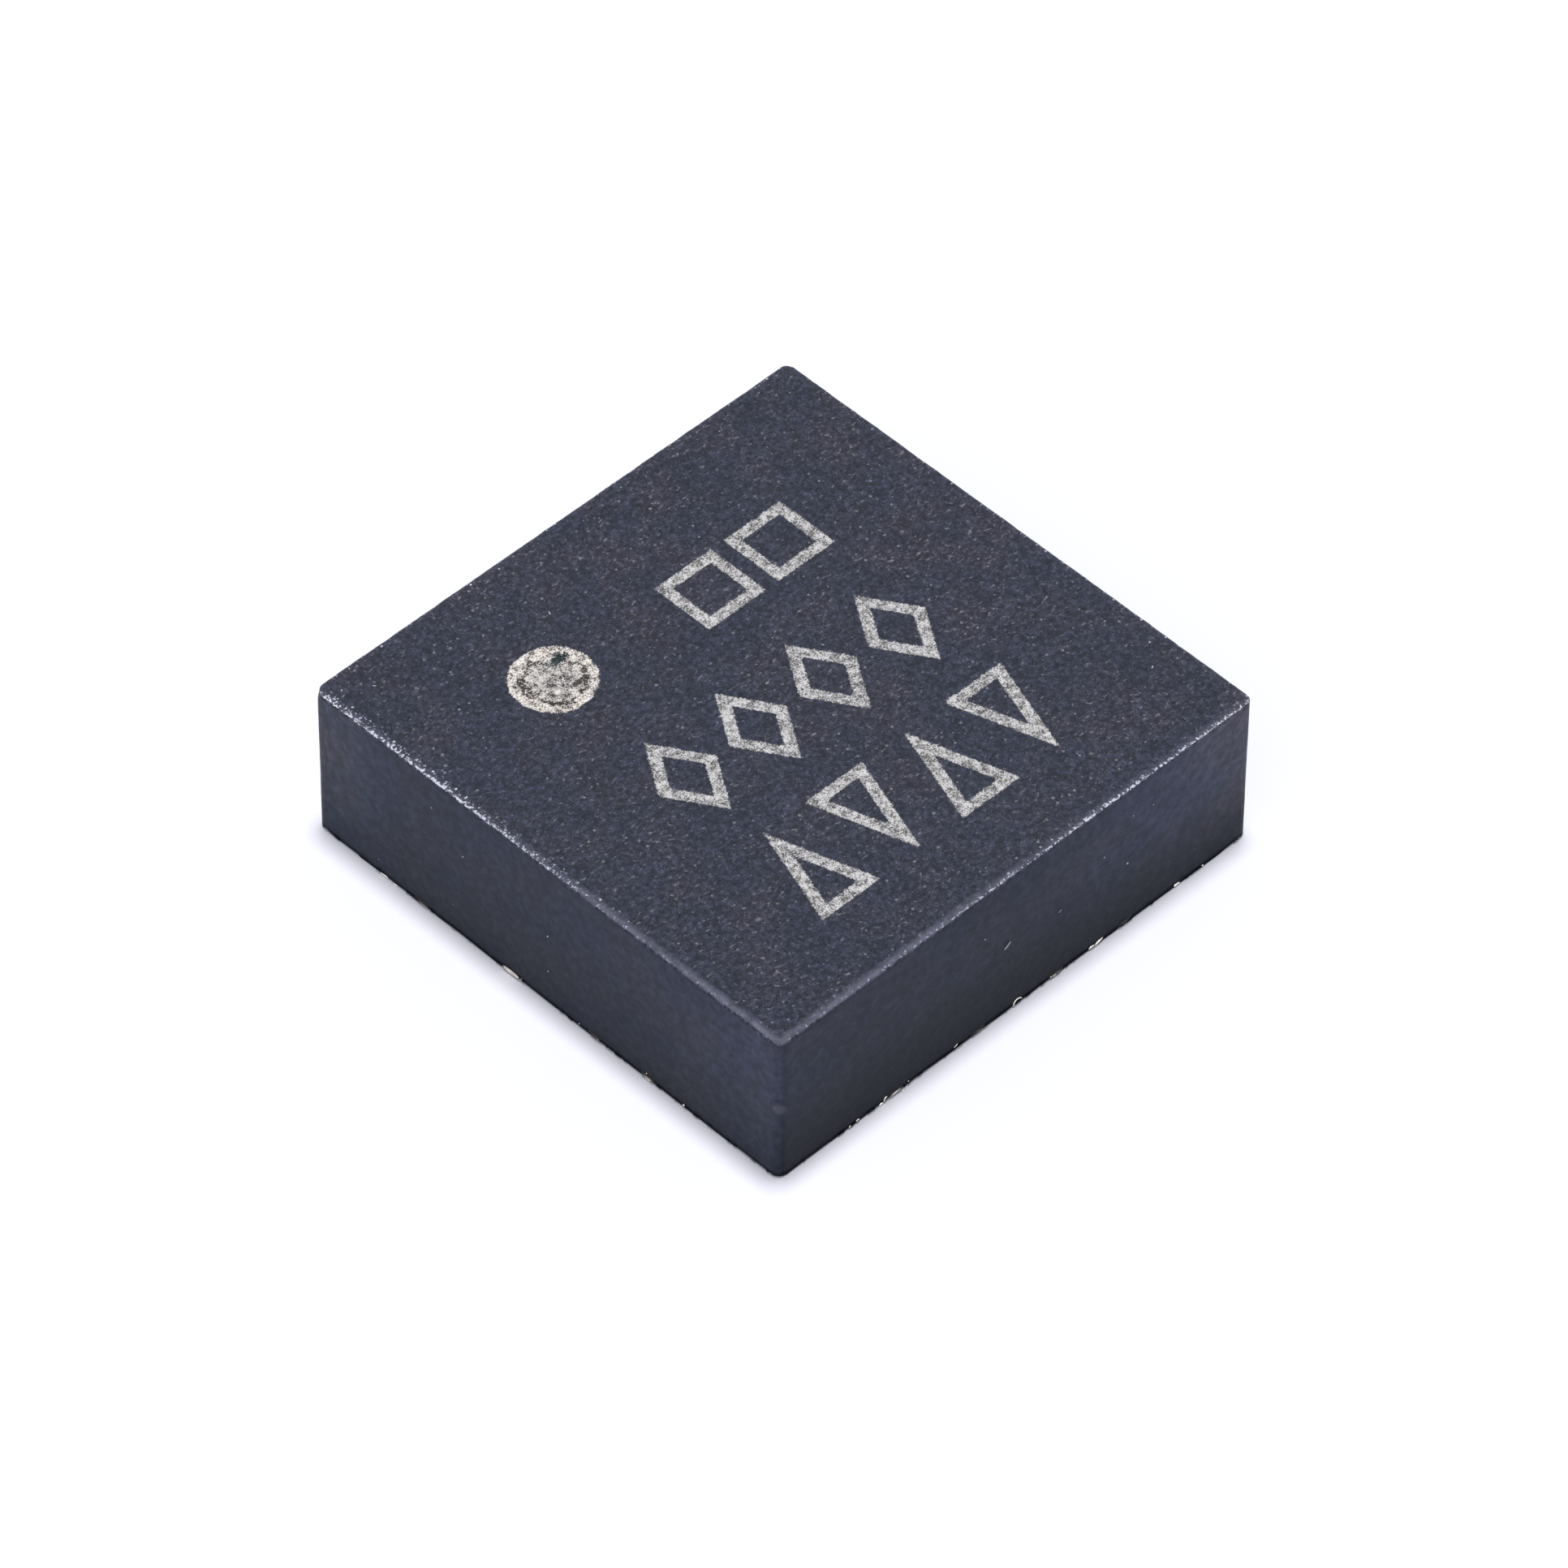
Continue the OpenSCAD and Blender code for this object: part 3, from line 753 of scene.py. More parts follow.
# Smooth random field: seeded values at the corners of cubes of side cell, blended by a smooth step
def softNoise(points, cell, seed):
    side = 64
    table = np.random.default_rng(seed).uniform(-1, 1, (side, side, side))
    place = points / (cell * mm)
    corner = np.floor(place).astype(int)
    blend = place - corner
    blend = blend * blend * (3 - 2 * blend)
    total = np.zeros(len(points))
    for step in np.ndindex(2, 2, 2):
        share = np.abs(1 - np.array(step) - blend).prod(axis=1)
        at = (corner + step) % side
        total += share * table[at[:, 0], at[:, 1], at[:, 2]]
    return total


# Sum of soft noises, each with its share, size and seed
def mixedNoise(points, parts):
    return sum(share * softNoise(points, cell, seed) for share, cell, seed in parts)


# Three times the square less twice the cube, of a value kept between 0 and 1
def smoothStep(value):
    value = np.clip(value, 0, 1)
    return value * value * (3 - 2 * value)


# Points that share a place become one, and the faces are numbered anew
def weld(points, faces, grain=1e-9):
    keys = np.round(points / grain).astype(np.int64)
    _, first, number = np.unique(keys, axis=0, return_index=True, return_inverse=True)
    return points[first], number.reshape(-1)[faces]


# Box as six welded grids on the given lines along X, Y and Z, its faces wound outwards
def boxGrid(lines, openFoot=False):
    points, faces, count = [], [], 0
    for axis in range(3):
        one, two = (axis + 1) % 3, (axis + 2) % 3
        across, along = np.meshgrid(lines[one], lines[two], indexing="ij")
        index = np.arange(across.size).reshape(across.shape)
        quads = np.stack([index[:-1, :-1], index[1:, :-1], index[1:, 1:], index[:-1, 1:]], axis=-1)
        for level, winding in ((lines[axis][0], -1), (lines[axis][-1], 1)):
            if openFoot and axis == 2 and winding < 0:
                continue
            patch = np.empty((across.size, 3))
            patch[:, axis] = level
            patch[:, one] = across.ravel()
            patch[:, two] = along.ravel()
            points.append(patch)
            faces.append(quads.reshape(-1, 4)[:, ::winding] + count)
            count += len(patch)
    return weld(np.concatenate(points), np.concatenate(faces))


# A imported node's own mesh, welded: its points and triangles
def cadMesh(name):
    mesh = cadNodes[name].data
    points = np.empty(len(mesh.vertices) * 3)
    mesh.vertices.foreach_get("co", points)
    mesh.calc_loop_triangles()
    corners = np.empty(len(mesh.loop_triangles) * 3, int)
    mesh.loop_triangles.foreach_get("vertices", corners)
    return weld(points.reshape(-1, 3), corners.reshape(-1, 3))


# Mesh object with its place in its mesh; values are written as point attributes
def makePiece(name, points, faces, materials, slot, replaced=(), values=None, smooth=True):
    mesh = bpy.data.meshes.new(name)
    mesh.from_pydata(np.asarray(points, float).tolist(), [], faces)
    for key, value in (values or {}).items():
        mesh.attributes.new(key, "FLOAT", "POINT").data.foreach_set("value", value.astype(np.float32))
    mesh.polygons.foreach_set("use_smooth", np.broadcast_to(smooth, len(mesh.polygons)))
    for material in materials:
        mesh.materials.append(material)
    mesh.update()
    piece = bpy.data.objects.new(name, mesh)
    bpy.context.scene.collection.objects.link(piece)
    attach(piece, "root")
    if replaced:
        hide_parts(*replaced)
    return piece


# Mould body: the moulded block with its worn rim, laser marks and grainy skin, and painted light and shade
# on rim and walls

# Lengths in mm; a noise is a mixture, with the share, the size and the seed of each part
mouldSkin = {
    "topCells": 228,  # cells between the edge lines, each way
    "wallCells": 26,  # cells down a wall below its edge lines
    "edgeLines": [0, 0.004, 0.008, 0.012, 0.017, 0.023, 0.031, 0.040, 0.050],  # from an edge
    "cornerRadius": 0.05,
    "rimRadius": 0.013,
    "frontRim": 0.015,  # how much larger the rim's radius is at the front corner
    "frontReach": 2.1,  # how far from that corner its larger radius and its change of beads and painted light reach
    "frontGain": 1.15,
    "rimWander": 0.005,
    "wanderNoise": [(0.6, 0.07, 3), (0.4, 0.021, 4)],
    "nickNoise": [(1.0, 0.05, 5)],
    "nickLevel": 0.45,  # nicks are where the noise is above this
    "topDip": 0.003,  # mean depth of the skin under the plain block
    "topGrain": 0.0014,
    "wallDip": 0.0012,
    "wallGrain": 0.0006,
    "grainNoise": [(0.55, 0.026, 11), (0.45, 0.07, 12)],
    "markRim": 0.008,  # how far in from its outline a mark reaches its depth
    "markRough": 0.0015,
    "markNoise": [(0.0015, 0.02, 13)],
    "footFade": 0.12,  # the walls are flush with the laminate at their foot
    "drawnIn": 0.02,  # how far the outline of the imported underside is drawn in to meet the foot
    "cornerShare": 0.35,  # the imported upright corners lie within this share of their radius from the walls
    "topClear": 0.05,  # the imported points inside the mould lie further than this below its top
}

# Rim beads and painted light by place: the beads scatter at the left wall, and the rim's painted highlight
# and light, with the side corners' tan and painted light, are strongest on the two near sides, which face
# the camera, and faint on the far two
rimSides = {
    "leastScatter": 0.15,
    "scatterFrom": 1.3,  # mm from the middle
    "scatterOver": 0.15,
    "farSideShare": 0.2,
    "sideOver": 0.08,  # across the diagonal from the left corner to the right one
}

# Chips and pits: place, radius and depth in mm
mouldDents = {
    "front corner chip": ((-1.488, -1.488, 0.519), 0.028, 0.007),
    "front corner scuff": ((-1.488, -1.488, 0.30), 0.02, 0.004),
    "left wall pit": ((-1.5, 0.735, 0.735), 0.013, 0.005),
    "left rim nick": ((-1.49, 0.62, 0.895), 0.02, 0.008),
    "near rim nick": ((0.36, -1.49, 0.895), 0.018, 0.007),
    "left corner nick": ((-1.492, 1.492, 0.893), 0.030, 0.013),
}


# Lines that lie close together near the ends given and evenly between them
def edgedLines(low, high, cells, atLow=True):
    edges = np.array(mouldSkin["edgeLines"]) * mm
    first = low + edges if atLow else np.array([low])
    last = (high - edges)[::-1]
    between = np.linspace(first[-1], last[0], cells + 1)[1:-1]
    return np.concatenate([first, between, last])


# Distance in mm to the nearest laser stroke, below 0 inside it, from the outlines' straight sides
def strokeDistance(x, y):
    marks = topMarks
    halfStroke = marks["stroke"] / 2
    nearest = np.full(len(x), 1.0)
    for row, (firstColumn, outline) in enumerate(marks["rows"]):
        for column in range(firstColumn, marks["columns"]):
            dx = x - (column - (marks["columns"] - 1) / 2) * marks["spacing"]
            dy = y - ((1 - row) * marks["rowSpacing"] - marks["drop"])
            a, b = marks["width"] / 2, marks["height"] / 2
            if outline == "square":
                outside = np.maximum(np.abs(dx), np.abs(dy)) - a
            elif outline == "diamond":
                outside = (np.abs(dx) * b + np.abs(dy) * a - a * b) / math.hypot(a, b)
            else:
                dy = dy if column % 2 == 0 else -dy
                slope = ((np.abs(dx) - a) * 2 * b + (dy + b) * a) / math.hypot(a, 2 * b)
                outside = np.maximum(slope, -b - dy)
            nearest = np.minimum(nearest, np.abs(outside + halfStroke) - halfStroke)
    return nearest


# How far the skin is pressed in, in mm: the grain's dip on top and walls, the marks' floor, and the
# dents, each a bell about its place
def pressedDepth(shaped, markAway, topShare, wallShare):
    skin = mouldSkin
    marked = smoothStep(-markAway / skin["markRim"])
    grain = mixedNoise(shaped, skin["grainNoise"])
    floor = topMarks["depth"] - skin["markRough"] + mixedNoise(shaped, skin["markNoise"])
    topDip = (skin["topDip"] + skin["topGrain"] * grain) * (1 - marked) + floor * marked
    fade = smoothStep((shaped[:, 2] - mouldFoot) / (skin["footFade"] * mm))
    wallDip = (skin["wallDip"] + skin["wallGrain"] * grain) * fade
    pressed = topDip * topShare + wallDip * wallShare
    for centre, size, deep in mouldDents.values():
        away = np.linalg.norm(shaped - np.array(centre) * mm, axis=1) / (size * mm)
        pressed += deep * np.exp(-away**2)
    return pressed


# The box grid with its upright corners and its rim rounded, then pressed in along its normals. In the
# corner squares and the rim squares each point moves along its own ray, so that square goes to circle.
def mouldOutside():
    skin, bySide = mouldSkin, rimSides
    flat = edgedLines(-halfWidth, halfWidth, skin["topCells"])
    upright = edgedLines(mouldFoot, topLevel, skin["wallCells"], False)
    points, faces = boxGrid([flat, flat, upright], openFoot=True)
    radius = skin["cornerRadius"] * mm
    plan, signs = np.abs(points[:, :2]), np.sign(points[:, :2])
    core = halfWidth - radius
    past = np.maximum(plan - core, 0)
    reach, length = past.max(axis=1), np.hypot(*past.T)
    outward = signs * past / np.maximum(length, 1e-12)[:, None]
    inset = halfWidth - plan.max(axis=1)
    depth = topLevel - points[:, 2]

    # Radius of the rim, by where a point lies on the outline
    outline = signs * np.minimum(plan, core) + outward * radius
    onOutline = np.column_stack([outline, np.zeros(len(points))])
    nicks = np.maximum(mixedNoise(onOutline, skin["nickNoise"]) - skin["nickLevel"], 0)
    fromFront = np.hypot(onOutline[:, 0] + halfWidth, onOutline[:, 1] + halfWidth) / mm
    frontShare = smoothStep(skin["frontGain"] * (1 - fromFront / skin["frontReach"]))
    wander = skin["rimWander"] * (mixedNoise(onOutline, skin["wanderNoise"]) + nicks)
    rim = (skin["rimRadius"] + skin["frontRim"] * frontShare + wander) * mm

    # Rounding of the rim, and the shares of wall and top in the normal there
    across, upwards = np.clip(rim - inset, 0, rim), np.clip(rim - depth, 0, rim)
    shrink = np.maximum(across, upwards) / np.maximum(np.hypot(across, upwards), 1e-12)
    roundAcross, roundUp = across * shrink, upwards * shrink
    shaped = points.copy()
    shaped[:, :2] = signs * np.minimum(plan, core) + outward * (reach - across + roundAcross)[:, None]
    shaped[:, 2] = points[:, 2] - (upwards - roundUp)
    wallShare, topShare = roundAcross / rim, roundUp / rim
    normal = np.column_stack([outward * wallShare[:, None], topShare])

    x, y = shaped[:, 0] / mm, shaped[:, 1] / mm
    dotX, dotY, dotRadius = topMarks["dot"]
    dotDistance = np.hypot(x - dotX, y - dotY)
    strokes = strokeDistance(x, y)
    markAway = np.minimum(strokes, dotDistance - dotRadius)
    shaped -= normal * (pressedDepth(shaped, markAway, topShare, wallShare) * mm)[:, None]

    leftward = -onOutline[:, 0] / mm
    nearward = -(shaped[:, :2].min(axis=1) + shaped[:, :2].max(axis=1)) / mm
    scattered = smoothStep((leftward - bySide["scatterFrom"]) / bySide["scatterOver"])
    paintedLight = smoothStep(nearward / bySide["sideOver"] + 0.5)
    values = {
        "wallShare": wallShare,
        "rimDistance": (depth - inset) / mm,
        "cornerDistance": (halfWidth - plan.min(axis=1)) / mm,
        "frontShare": frontShare,
        "scatter": bySide["leastScatter"] + (1 - bySide["leastScatter"]) * scattered,
        "nearSideShare": bySide["farSideShare"] + (1 - bySide["farSideShare"]) * paintedLight,
        "markDistance": np.where(topShare > 0.5, strokes, 1.0),
        "dotDistance": np.where(topShare > 0.5, dotDistance, 1.0),
    }
    foot = np.flatnonzero(depth > topLevel - mouldFoot - close)
    return shaped, faces, values, foot


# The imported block's underside, die pockets and wire tunnels, with the outline of the underside drawn in
def mouldUnderside():
    skin = mouldSkin
    points, triangles = cadMesh("mould_body")
    reach = np.abs(points[:, :2]).max(axis=1)
    onOutline = reach > halfWidth - skin["cornerShare"] * skin["cornerRadius"] * mm
    low = points[:, 2] < mouldFoot + close
    inner = ~onOutline & (points[:, 2] < topLevel - skin["topClear"] * mm)
    kept = triangles[(low | inner)[triangles].all(axis=1)]
    used, faces = np.unique(kept, return_inverse=True)
    points, onOutline = points[used], onOutline[used]
    points[onOutline, :2] *= 1 - skin["drawnIn"] * mm / halfWidth
    return points, faces.reshape(kept.shape), np.flatnonzero(onOutline)


# Flat strip between two rings about the origin, facing down: each outer edge goes to the inner point
# nearest in angle, and a step from one inner point to the next is filled by one more triangle
def zipRings(points, outer, inner):
    angle = np.arctan2(points[:, 1], points[:, 0])
    outer = outer[np.argsort(angle[outer])]
    inner = inner[np.argsort(angle[inner])]
    turn = np.abs(np.angle(np.exp(1j * (angle[outer][:, None] - angle[inner]))))
    nearest = turn.argmin(axis=1)
    following, after = np.roll(outer, -1), np.roll(nearest, -1)
    strip = np.column_stack([following, outer, inner[nearest]])
    steps = nearest != after
    corners = np.column_stack([following, inner[nearest], inner[after]])[steps]
    return np.concatenate([strip, corners])


# Outside, underside and the strip between them in one mesh; only the outside is smooth, and its foot sharp
def makeMouldBody():
    skin, skinFaces, values, foot = mouldOutside()
    under, underFaces, ring = mouldUnderside()
    points = np.concatenate([skin, under])
    strip = zipRings(points, foot, ring + len(skin))
    values = {key: np.concatenate([value, np.ones(len(under))]) for key, value in values.items()}
    faces = skinFaces.tolist() + (underFaces + len(skin)).tolist() + strip.tolist()
    smooth = np.arange(len(faces)) < len(skinFaces)
    piece = makePiece("mouldBody", points, faces, [mouldCompound], "mould", ["mould_body"], values, smooth)
    ends = np.empty(len(piece.data.edges) * 2, int)
    piece.data.edges.foreach_get("vertices", ends)
    atFoot = np.isin(ends.reshape(-1, 2), foot).all(axis=1)
    piece.data.edges.foreach_set("use_edge_sharp", atFoot)
    print("mould body made:", len(skinFaces) * 2 + len(underFaces) + len(strip), "triangles")


makeMouldBody()


# Finishes of the rest

metalFinish = {
    "gold plate": {"light": (0.86, 0.62, 0.28, 1), "dark": (0.74, 0.50, 0.21, 1), "roughness": (0.28, 0.45)},
    "bond gold": {"light": (0.88, 0.66, 0.33, 1), "dark": (0.78, 0.56, 0.25, 1), "roughness": (0.2, 0.34)},
    "copper": {"light": (0.68, 0.34, 0.20, 1), "dark": (0.50, 0.22, 0.13, 1), "roughness": (0.3, 0.5)},
    "solder": {"light": (0.66, 0.67, 0.69, 1), "dark": (0.50, 0.51, 0.54, 1), "roughness": (0.25, 0.45)},
}

plainFinish = {
    "solder mask": {
        "light": (0.032, 0.036, 0.047, 1), "dark": (0.022, 0.026, 0.035, 1), "roughness": (0.35, 0.5),
    },
    "silicon": {"light": (0.22, 0.23, 0.28, 1), "dark": (0.16, 0.17, 0.22, 1), "roughness": (0.15, 0.3)},
    "die attach": {"light": (0.62, 0.60, 0.54, 1), "dark": (0.50, 0.48, 0.43, 1), "roughness": (0.5, 0.7)},
}

tonedSkin = {"strength": 0.12, "contrast": 0.1, "depth": 0.001}


# Two near tones and two roughnesses, each mixed by patches and grain
def makeTonedMaterial(name, facts, metallic, patch, grainSize):
    material, tree = newMaterial(name)
    patches = useGroup(tree, patchGroup, {"Size": patch, "Strength": tonedSkin["strength"]})
    grain = useGroup(tree, grainGroup, {"Size": grainSize, "Contrast": tonedSkin["contrast"]})
    colour = mixColours(tree, patches["Hue"], facts["dark"], facts["light"])
    colour = toned(tree, colour, product(tree, patches["Tone"], grain["Tone"]))
    roughness = mixValues(tree, grain["Height"], *facts["roughness"])
    finishMaterial(tree, colour, roughness, grain["Height"], tonedSkin["depth"], metallic)
    return material


metals = {
    name: makeTonedMaterial(name, facts, metallic=1.0, patch=0.12, grainSize=0.01)
    for name, facts in metalFinish.items()
}
plains = {
    name: makeTonedMaterial(name, facts, metallic=0.0, patch=0.2, grainSize=0.012)
    for name, facts in plainFinish.items()
}

landFinish = {
    "sawn": (0.93, 0.88, 0.80, 1),
    "dull": (0.07, 0.065, 0.06, 1),
    # painted shade on the outline of the sawn end's lip
    "edge": (0.03, 0.027, 0.025, 1),
    "patches": {"Size": 0.1},
    "grain": {"Size": 0.008, "Contrast": 0.12},
    "depth": 0.001,
}


# Gold plate with a pale sawn end; the attribute sawn marks the end, shine says how bright it is, and lip
# darkens the end's outline with painted shade
def makeLandMetal():
    material, tree = newMaterial("land metal")
    facts = metalFinish["gold plate"]
    patches = useGroup(tree, patchGroup, landFinish["patches"])
    grain = useGroup(tree, grainGroup, landFinish["grain"])
    gold = mixColours(tree, patches["Hue"], facts["dark"], facts["light"])
    gold = toned(tree, gold, grain["Tone"])
    end = mixColours(tree, attribute(tree, "shine"), landFinish["dull"], landFinish["sawn"])
    end = toned(tree, end, grain["Tone"])
    end = mixColours(tree, attribute(tree, "lip"), end, landFinish["edge"])
    colour = mixColours(tree, attribute(tree, "sawn"), gold, end)
    roughness = mixValues(tree, grain["Height"], *facts["roughness"])
    finishMaterial(tree, colour, roughness, grain["Height"], landFinish["depth"], metallic=1.0)
    return material


landMetal = makeLandMetal()


# Lands: a rounded pad on the underside, with its plating stub drawn out through the wall and its end
# flared by the saw

# Lengths in mm
landShape = {
    "edgeLines": [0, 0.002, 0.005, 0.009],  # from a pad's edge
    "lowLines": [0, 0.002, 0.005, 0.012],  # from its underside
    "cells": 12,
    "edgeRadius": 0.005,
    "sideStep": 0.0006,  # the lines either side of the stub lie this far apart
    "clearSteps": 4,  # and no other line lies within this many steps of it
    "rings": [1.0, 0.86, 0.70, 0.45],  # of the sawn end, from its outline to its middle
    "ringProud": [0.0, 0.75, 1.0, 0.35],  # how far each stands out of the wall, as a share of the stub
    "openOver": 0.14,  # share of the end over which the square outline opens into the ellipse
    "crumple": [(0.0016, 0.012, 21)],
    "crumpledWithin": 0.9,
    # the lip's outline is darkened with painted shade
    "lipFrom": 0.72,  # the lip's dark edge
    "lipOver": 0.14,
}

landCount = len([name for name in cadNodes if name.startswith("land_")])

# Half length, half height, height of the middle and brightness of each sawn end on the two walls in view
sawnEnds = {
    1: (0.030, 0.006, 0.024, 0.05),
    2: (0.058, 0.015, 0.021, 1.0),
    3: (0.030, 0.006, 0.026, 0.05),
    4: (0.034, 0.007, 0.022, 0.25),
    5: (0.036, 0.008, 0.022, 0.5),
    6: (0.030, 0.006, 0.026, 0.03),
    7: (0.032, 0.006, 0.025, 0.08),
    8: (0.030, 0.006, 0.026, 0.03),
}

# The same of the ends on the hidden walls, with how far length and brightness may rise from that by chance
hiddenEnd = {"end": (0.032, 0.007, 0.025, 0.1), "longer": 0.01, "brighter": 0.3}


# Quarter turns about Z
def quarterTurned(points, quarters):
    turned = points.copy()
    for _ in range(quarters % 4):
        turned[:, :2] = np.column_stack([-turned[:, 1], turned[:, 0]])
    return turned


# A packed land's pad and its stub, each as a lowest and a highest corner, with the wall turned to -X and
# moved to 0
def landBoxes(number, side):
    packed, _ = cadMesh(f"land_{number:02d}")
    packed = quarterTurned(packed, 4 - side)
    packed[:, 0] += halfWidth
    proud = packed[:, 0] < -close
    return [np.array([part.min(axis=0), part.max(axis=0)]) for part in (packed[~proud], packed[proud])]


# The pad as a box grid with lines of its own through the stub's window
def landGrid(pad, stub):
    shape = landShape
    edges = np.array(shape["edgeLines"]) * mm
    low, high = pad

    def linesAlong(axis):
        between = np.linspace(low[axis] + edges[-1], high[axis] - edges[-1], shape["cells"] + 1)
        return np.concatenate([low[axis] + edges, between[1:-1], (high[axis] - edges)[::-1]])

    rings = np.array(shape["rings"])
    shares = np.concatenate([-rings, [0], rings[::-1]])
    window = (stub[0] + stub[1]) / 2 + shares[:, None] * ((stub[1] - stub[0]) / 2)
    step = shape["sideStep"] * mm
    clearance = shape["clearSteps"] * step
    first, last = stub[:, 1]
    across = linesAlong(1)
    across = across[(across < first - clearance) | (across > last + clearance)]
    across = np.sort(np.concatenate([across, window[:, 1], [first - step, last + step]]))
    heights = np.concatenate([np.array(shape["lowLines"]) * mm, [stub[0, 2] - step], window[:, 2]])
    return boxGrid([linesAlong(0), across, heights])


# The sawn end of a land: half length, half height, height of the middle, and brightness
def sawnEnd(number):
    seeded = np.random.default_rng(number)
    length, height, level, shine = hiddenEnd["end"]
    length += hiddenEnd["longer"] * seeded.random()
    shine += hiddenEnd["brighter"] * seeded.random()
    return sawnEnds.get(number, (length, height, level, shine))


# The pad is rounded along its edges by moving each point along the ray from the nearest point of a
# smaller box. The points in the stub's window are drawn out to the wall: its outline stays square up to
# the wall, and from there rings open into an ellipse and close in a shallow hollow.
def makeLand(number):
    shape = landShape
    side = (number - 1) // (landCount // 4)
    pad, stub = landBoxes(number, side)
    (low, high), (stubLow, stubHigh) = pad, stub
    stubMiddle, stubHalf = (stubLow + stubHigh) / 2, (stubHigh - stubLow) / 2
    points, faces = landGrid(pad, stub)
    radius = shape["edgeRadius"] * mm
    heart = np.clip(points, low + radius, high - radius)
    ray = points - heart
    shaped = heart + ray * (radius / np.maximum(np.linalg.norm(ray, axis=1), 1e-12))[:, None]

    inWindow = (points[:, 0] < low[0] + close) & (points[:, 2] > stubLow[2] - close)
    inWindow &= (points[:, 1] > stubLow[1] - close) & (points[:, 1] < stubHigh[1] + close)
    square = (points[inWindow][:, 1:] - stubMiddle[1:]) / stubHalf[1:]
    ring = np.abs(square).max(axis=1)
    disc = square * (ring / np.maximum(np.hypot(*square.T), 1e-9))[:, None]
    halfLength, halfHeight, level, shine = sawnEnd(number)
    opened = smoothStep((1 - ring) / shape["openOver"])[:, None]
    middle = np.array([stubMiddle[1] / mm, level])
    flared = middle + disc * np.array([halfLength, halfHeight]) / shape["rings"][1]
    shaped[inWindow, 1:] = points[inWindow][:, 1:] * (1 - opened) + flared * mm * opened
    shaped[inWindow, 0] = -np.interp(ring, shape["rings"][::-1], shape["ringProud"][::-1]) * stubProud
    crumple = mixedNoise(shaped + number, shape["crumple"])[inWindow] * mm
    crumple *= ring < shape["crumpledWithin"]
    shaped[inWindow, 1] += crumple
    shaped[inWindow, 0] = np.clip(shaped[inWindow, 0] + np.abs(crumple), -stubProud, 0)

    shaped[:, 0] -= halfWidth
    lip = np.zeros(len(points))
    lip[inWindow] = smoothStep((ring - shape["lipFrom"]) / shape["lipOver"])
    values = {"sawn": inWindow.astype(float), "shine": np.full(len(points), shine), "lip": lip}
    shaped = quarterTurned(shaped, side)
    name = f"land_{number:02d}"
    makePiece(f"landPad_{number:02d}", shaped, faces.tolist(), [landMetal], "gold_plate", [name], values)


for number in range(1, landCount + 1):
    makeLand(number)
print("lands made")


# Solder mask under the laminate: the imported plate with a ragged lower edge

# Lengths in mm
maskEdge = {
    "longerThan": 0.03,  # each edge of the outline that is longer than this is cut up
    "cuts": 60,
    "raggedUp": 0.006,
    "raggedDown": 0.008,
    "raggedIn": 0.005,
    "noise": [(0.6, 0.036, 31), (0.5, 0.014, 32)],
    "gain": 0.8,
}


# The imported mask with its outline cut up: its points and triangles
def cutMask():
    points, triangles = cadMesh("bottom_mask")
    mesh = bmesh.new()
    corners = [mesh.verts.new(point) for point in points]
    for face in triangles:
        mesh.faces.new([corners[index] for index in face])

    def onWall(edge, axis):
        one, two = (corner.co for corner in edge.verts)
        same = abs(one[axis] - two[axis]) < close and abs(abs(one[axis]) - halfWidth) < close
        return same and abs(one.z - two.z) < close and edge.calc_length() > maskEdge["longerThan"] * mm

    outline = [edge for edge in mesh.edges if onWall(edge, 0) or onWall(edge, 1)]
    bmesh.ops.subdivide_edges(mesh, edges=outline, cuts=maskEdge["cuts"])
    bmesh.ops.triangulate(mesh, faces=mesh.faces[:])
    places = np.array([corner.co[:] for corner in mesh.verts])
    faces = np.array([[corner.index for corner in face.verts] for face in mesh.faces])
    mesh.free()
    return places, faces


# The points of the outline move up or down and in by a noise that fades from foot to top
def makeBottomMask():
    facts = maskEdge
    places, faces = cutMask()
    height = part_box("bottom_mask")[1].z - maskFoot
    low = smoothStep(1 - (places[:, 2] - maskFoot) / height)
    reach = np.abs(places[:, :2]).max(axis=1)
    edge = (reach > halfWidth - close) * low
    ragged = np.clip(0.5 + facts["gain"] * mixedNoise(places, facts["noise"]), 0, 1)
    rise = ragged * (facts["raggedUp"] + facts["raggedDown"]) - facts["raggedDown"]
    places[:, 2] += edge * rise * mm
    places[:, :2] *= (1 - edge * ragged * facts["raggedIn"] * mm / reach)[:, None]
    outline = halfWidth - (mouldSkin["cornerShare"] * mouldSkin["cornerRadius"] + facts["raggedIn"]) * mm
    onEdge = np.abs(places[faces][:, :, :2]).max(axis=2).min(axis=1) > outline
    piece = makePiece(
        "bottomMask", places, faces.tolist(), [plains["solder mask"], sawnFoot], "solder_mask",
        ["bottom_mask"], smooth=False,
    )
    piece.data.polygons.foreach_set("material_index", onEdge.astype(int))


makeBottomMask()
print("solder mask made")


# Saw burrs at the foot of the walls, crumbs and dust

# Smooth curve through a few points: each stretch passes over from the parabola through its start and the
# points either side of it to the one through its end
def curveThrough(path, count):
    path = np.asarray(path, float)
    padded = np.vstack([2 * path[0] - path[1], path, 2 * path[-1] - path[-2]])
    place = np.linspace(0, len(path) - 1, count)
    start = np.minimum(place.astype(int), len(path) - 2)
    t = (place - start)[:, None]
    a, b, c, d = (padded[start + step] for step in range(4))
    return 0.5 * (2 * b + (c - a) * t + (2 * a - 5 * b + 4 * c - d) * t**2 + (3 * b - a - 3 * c + d) * t**3)


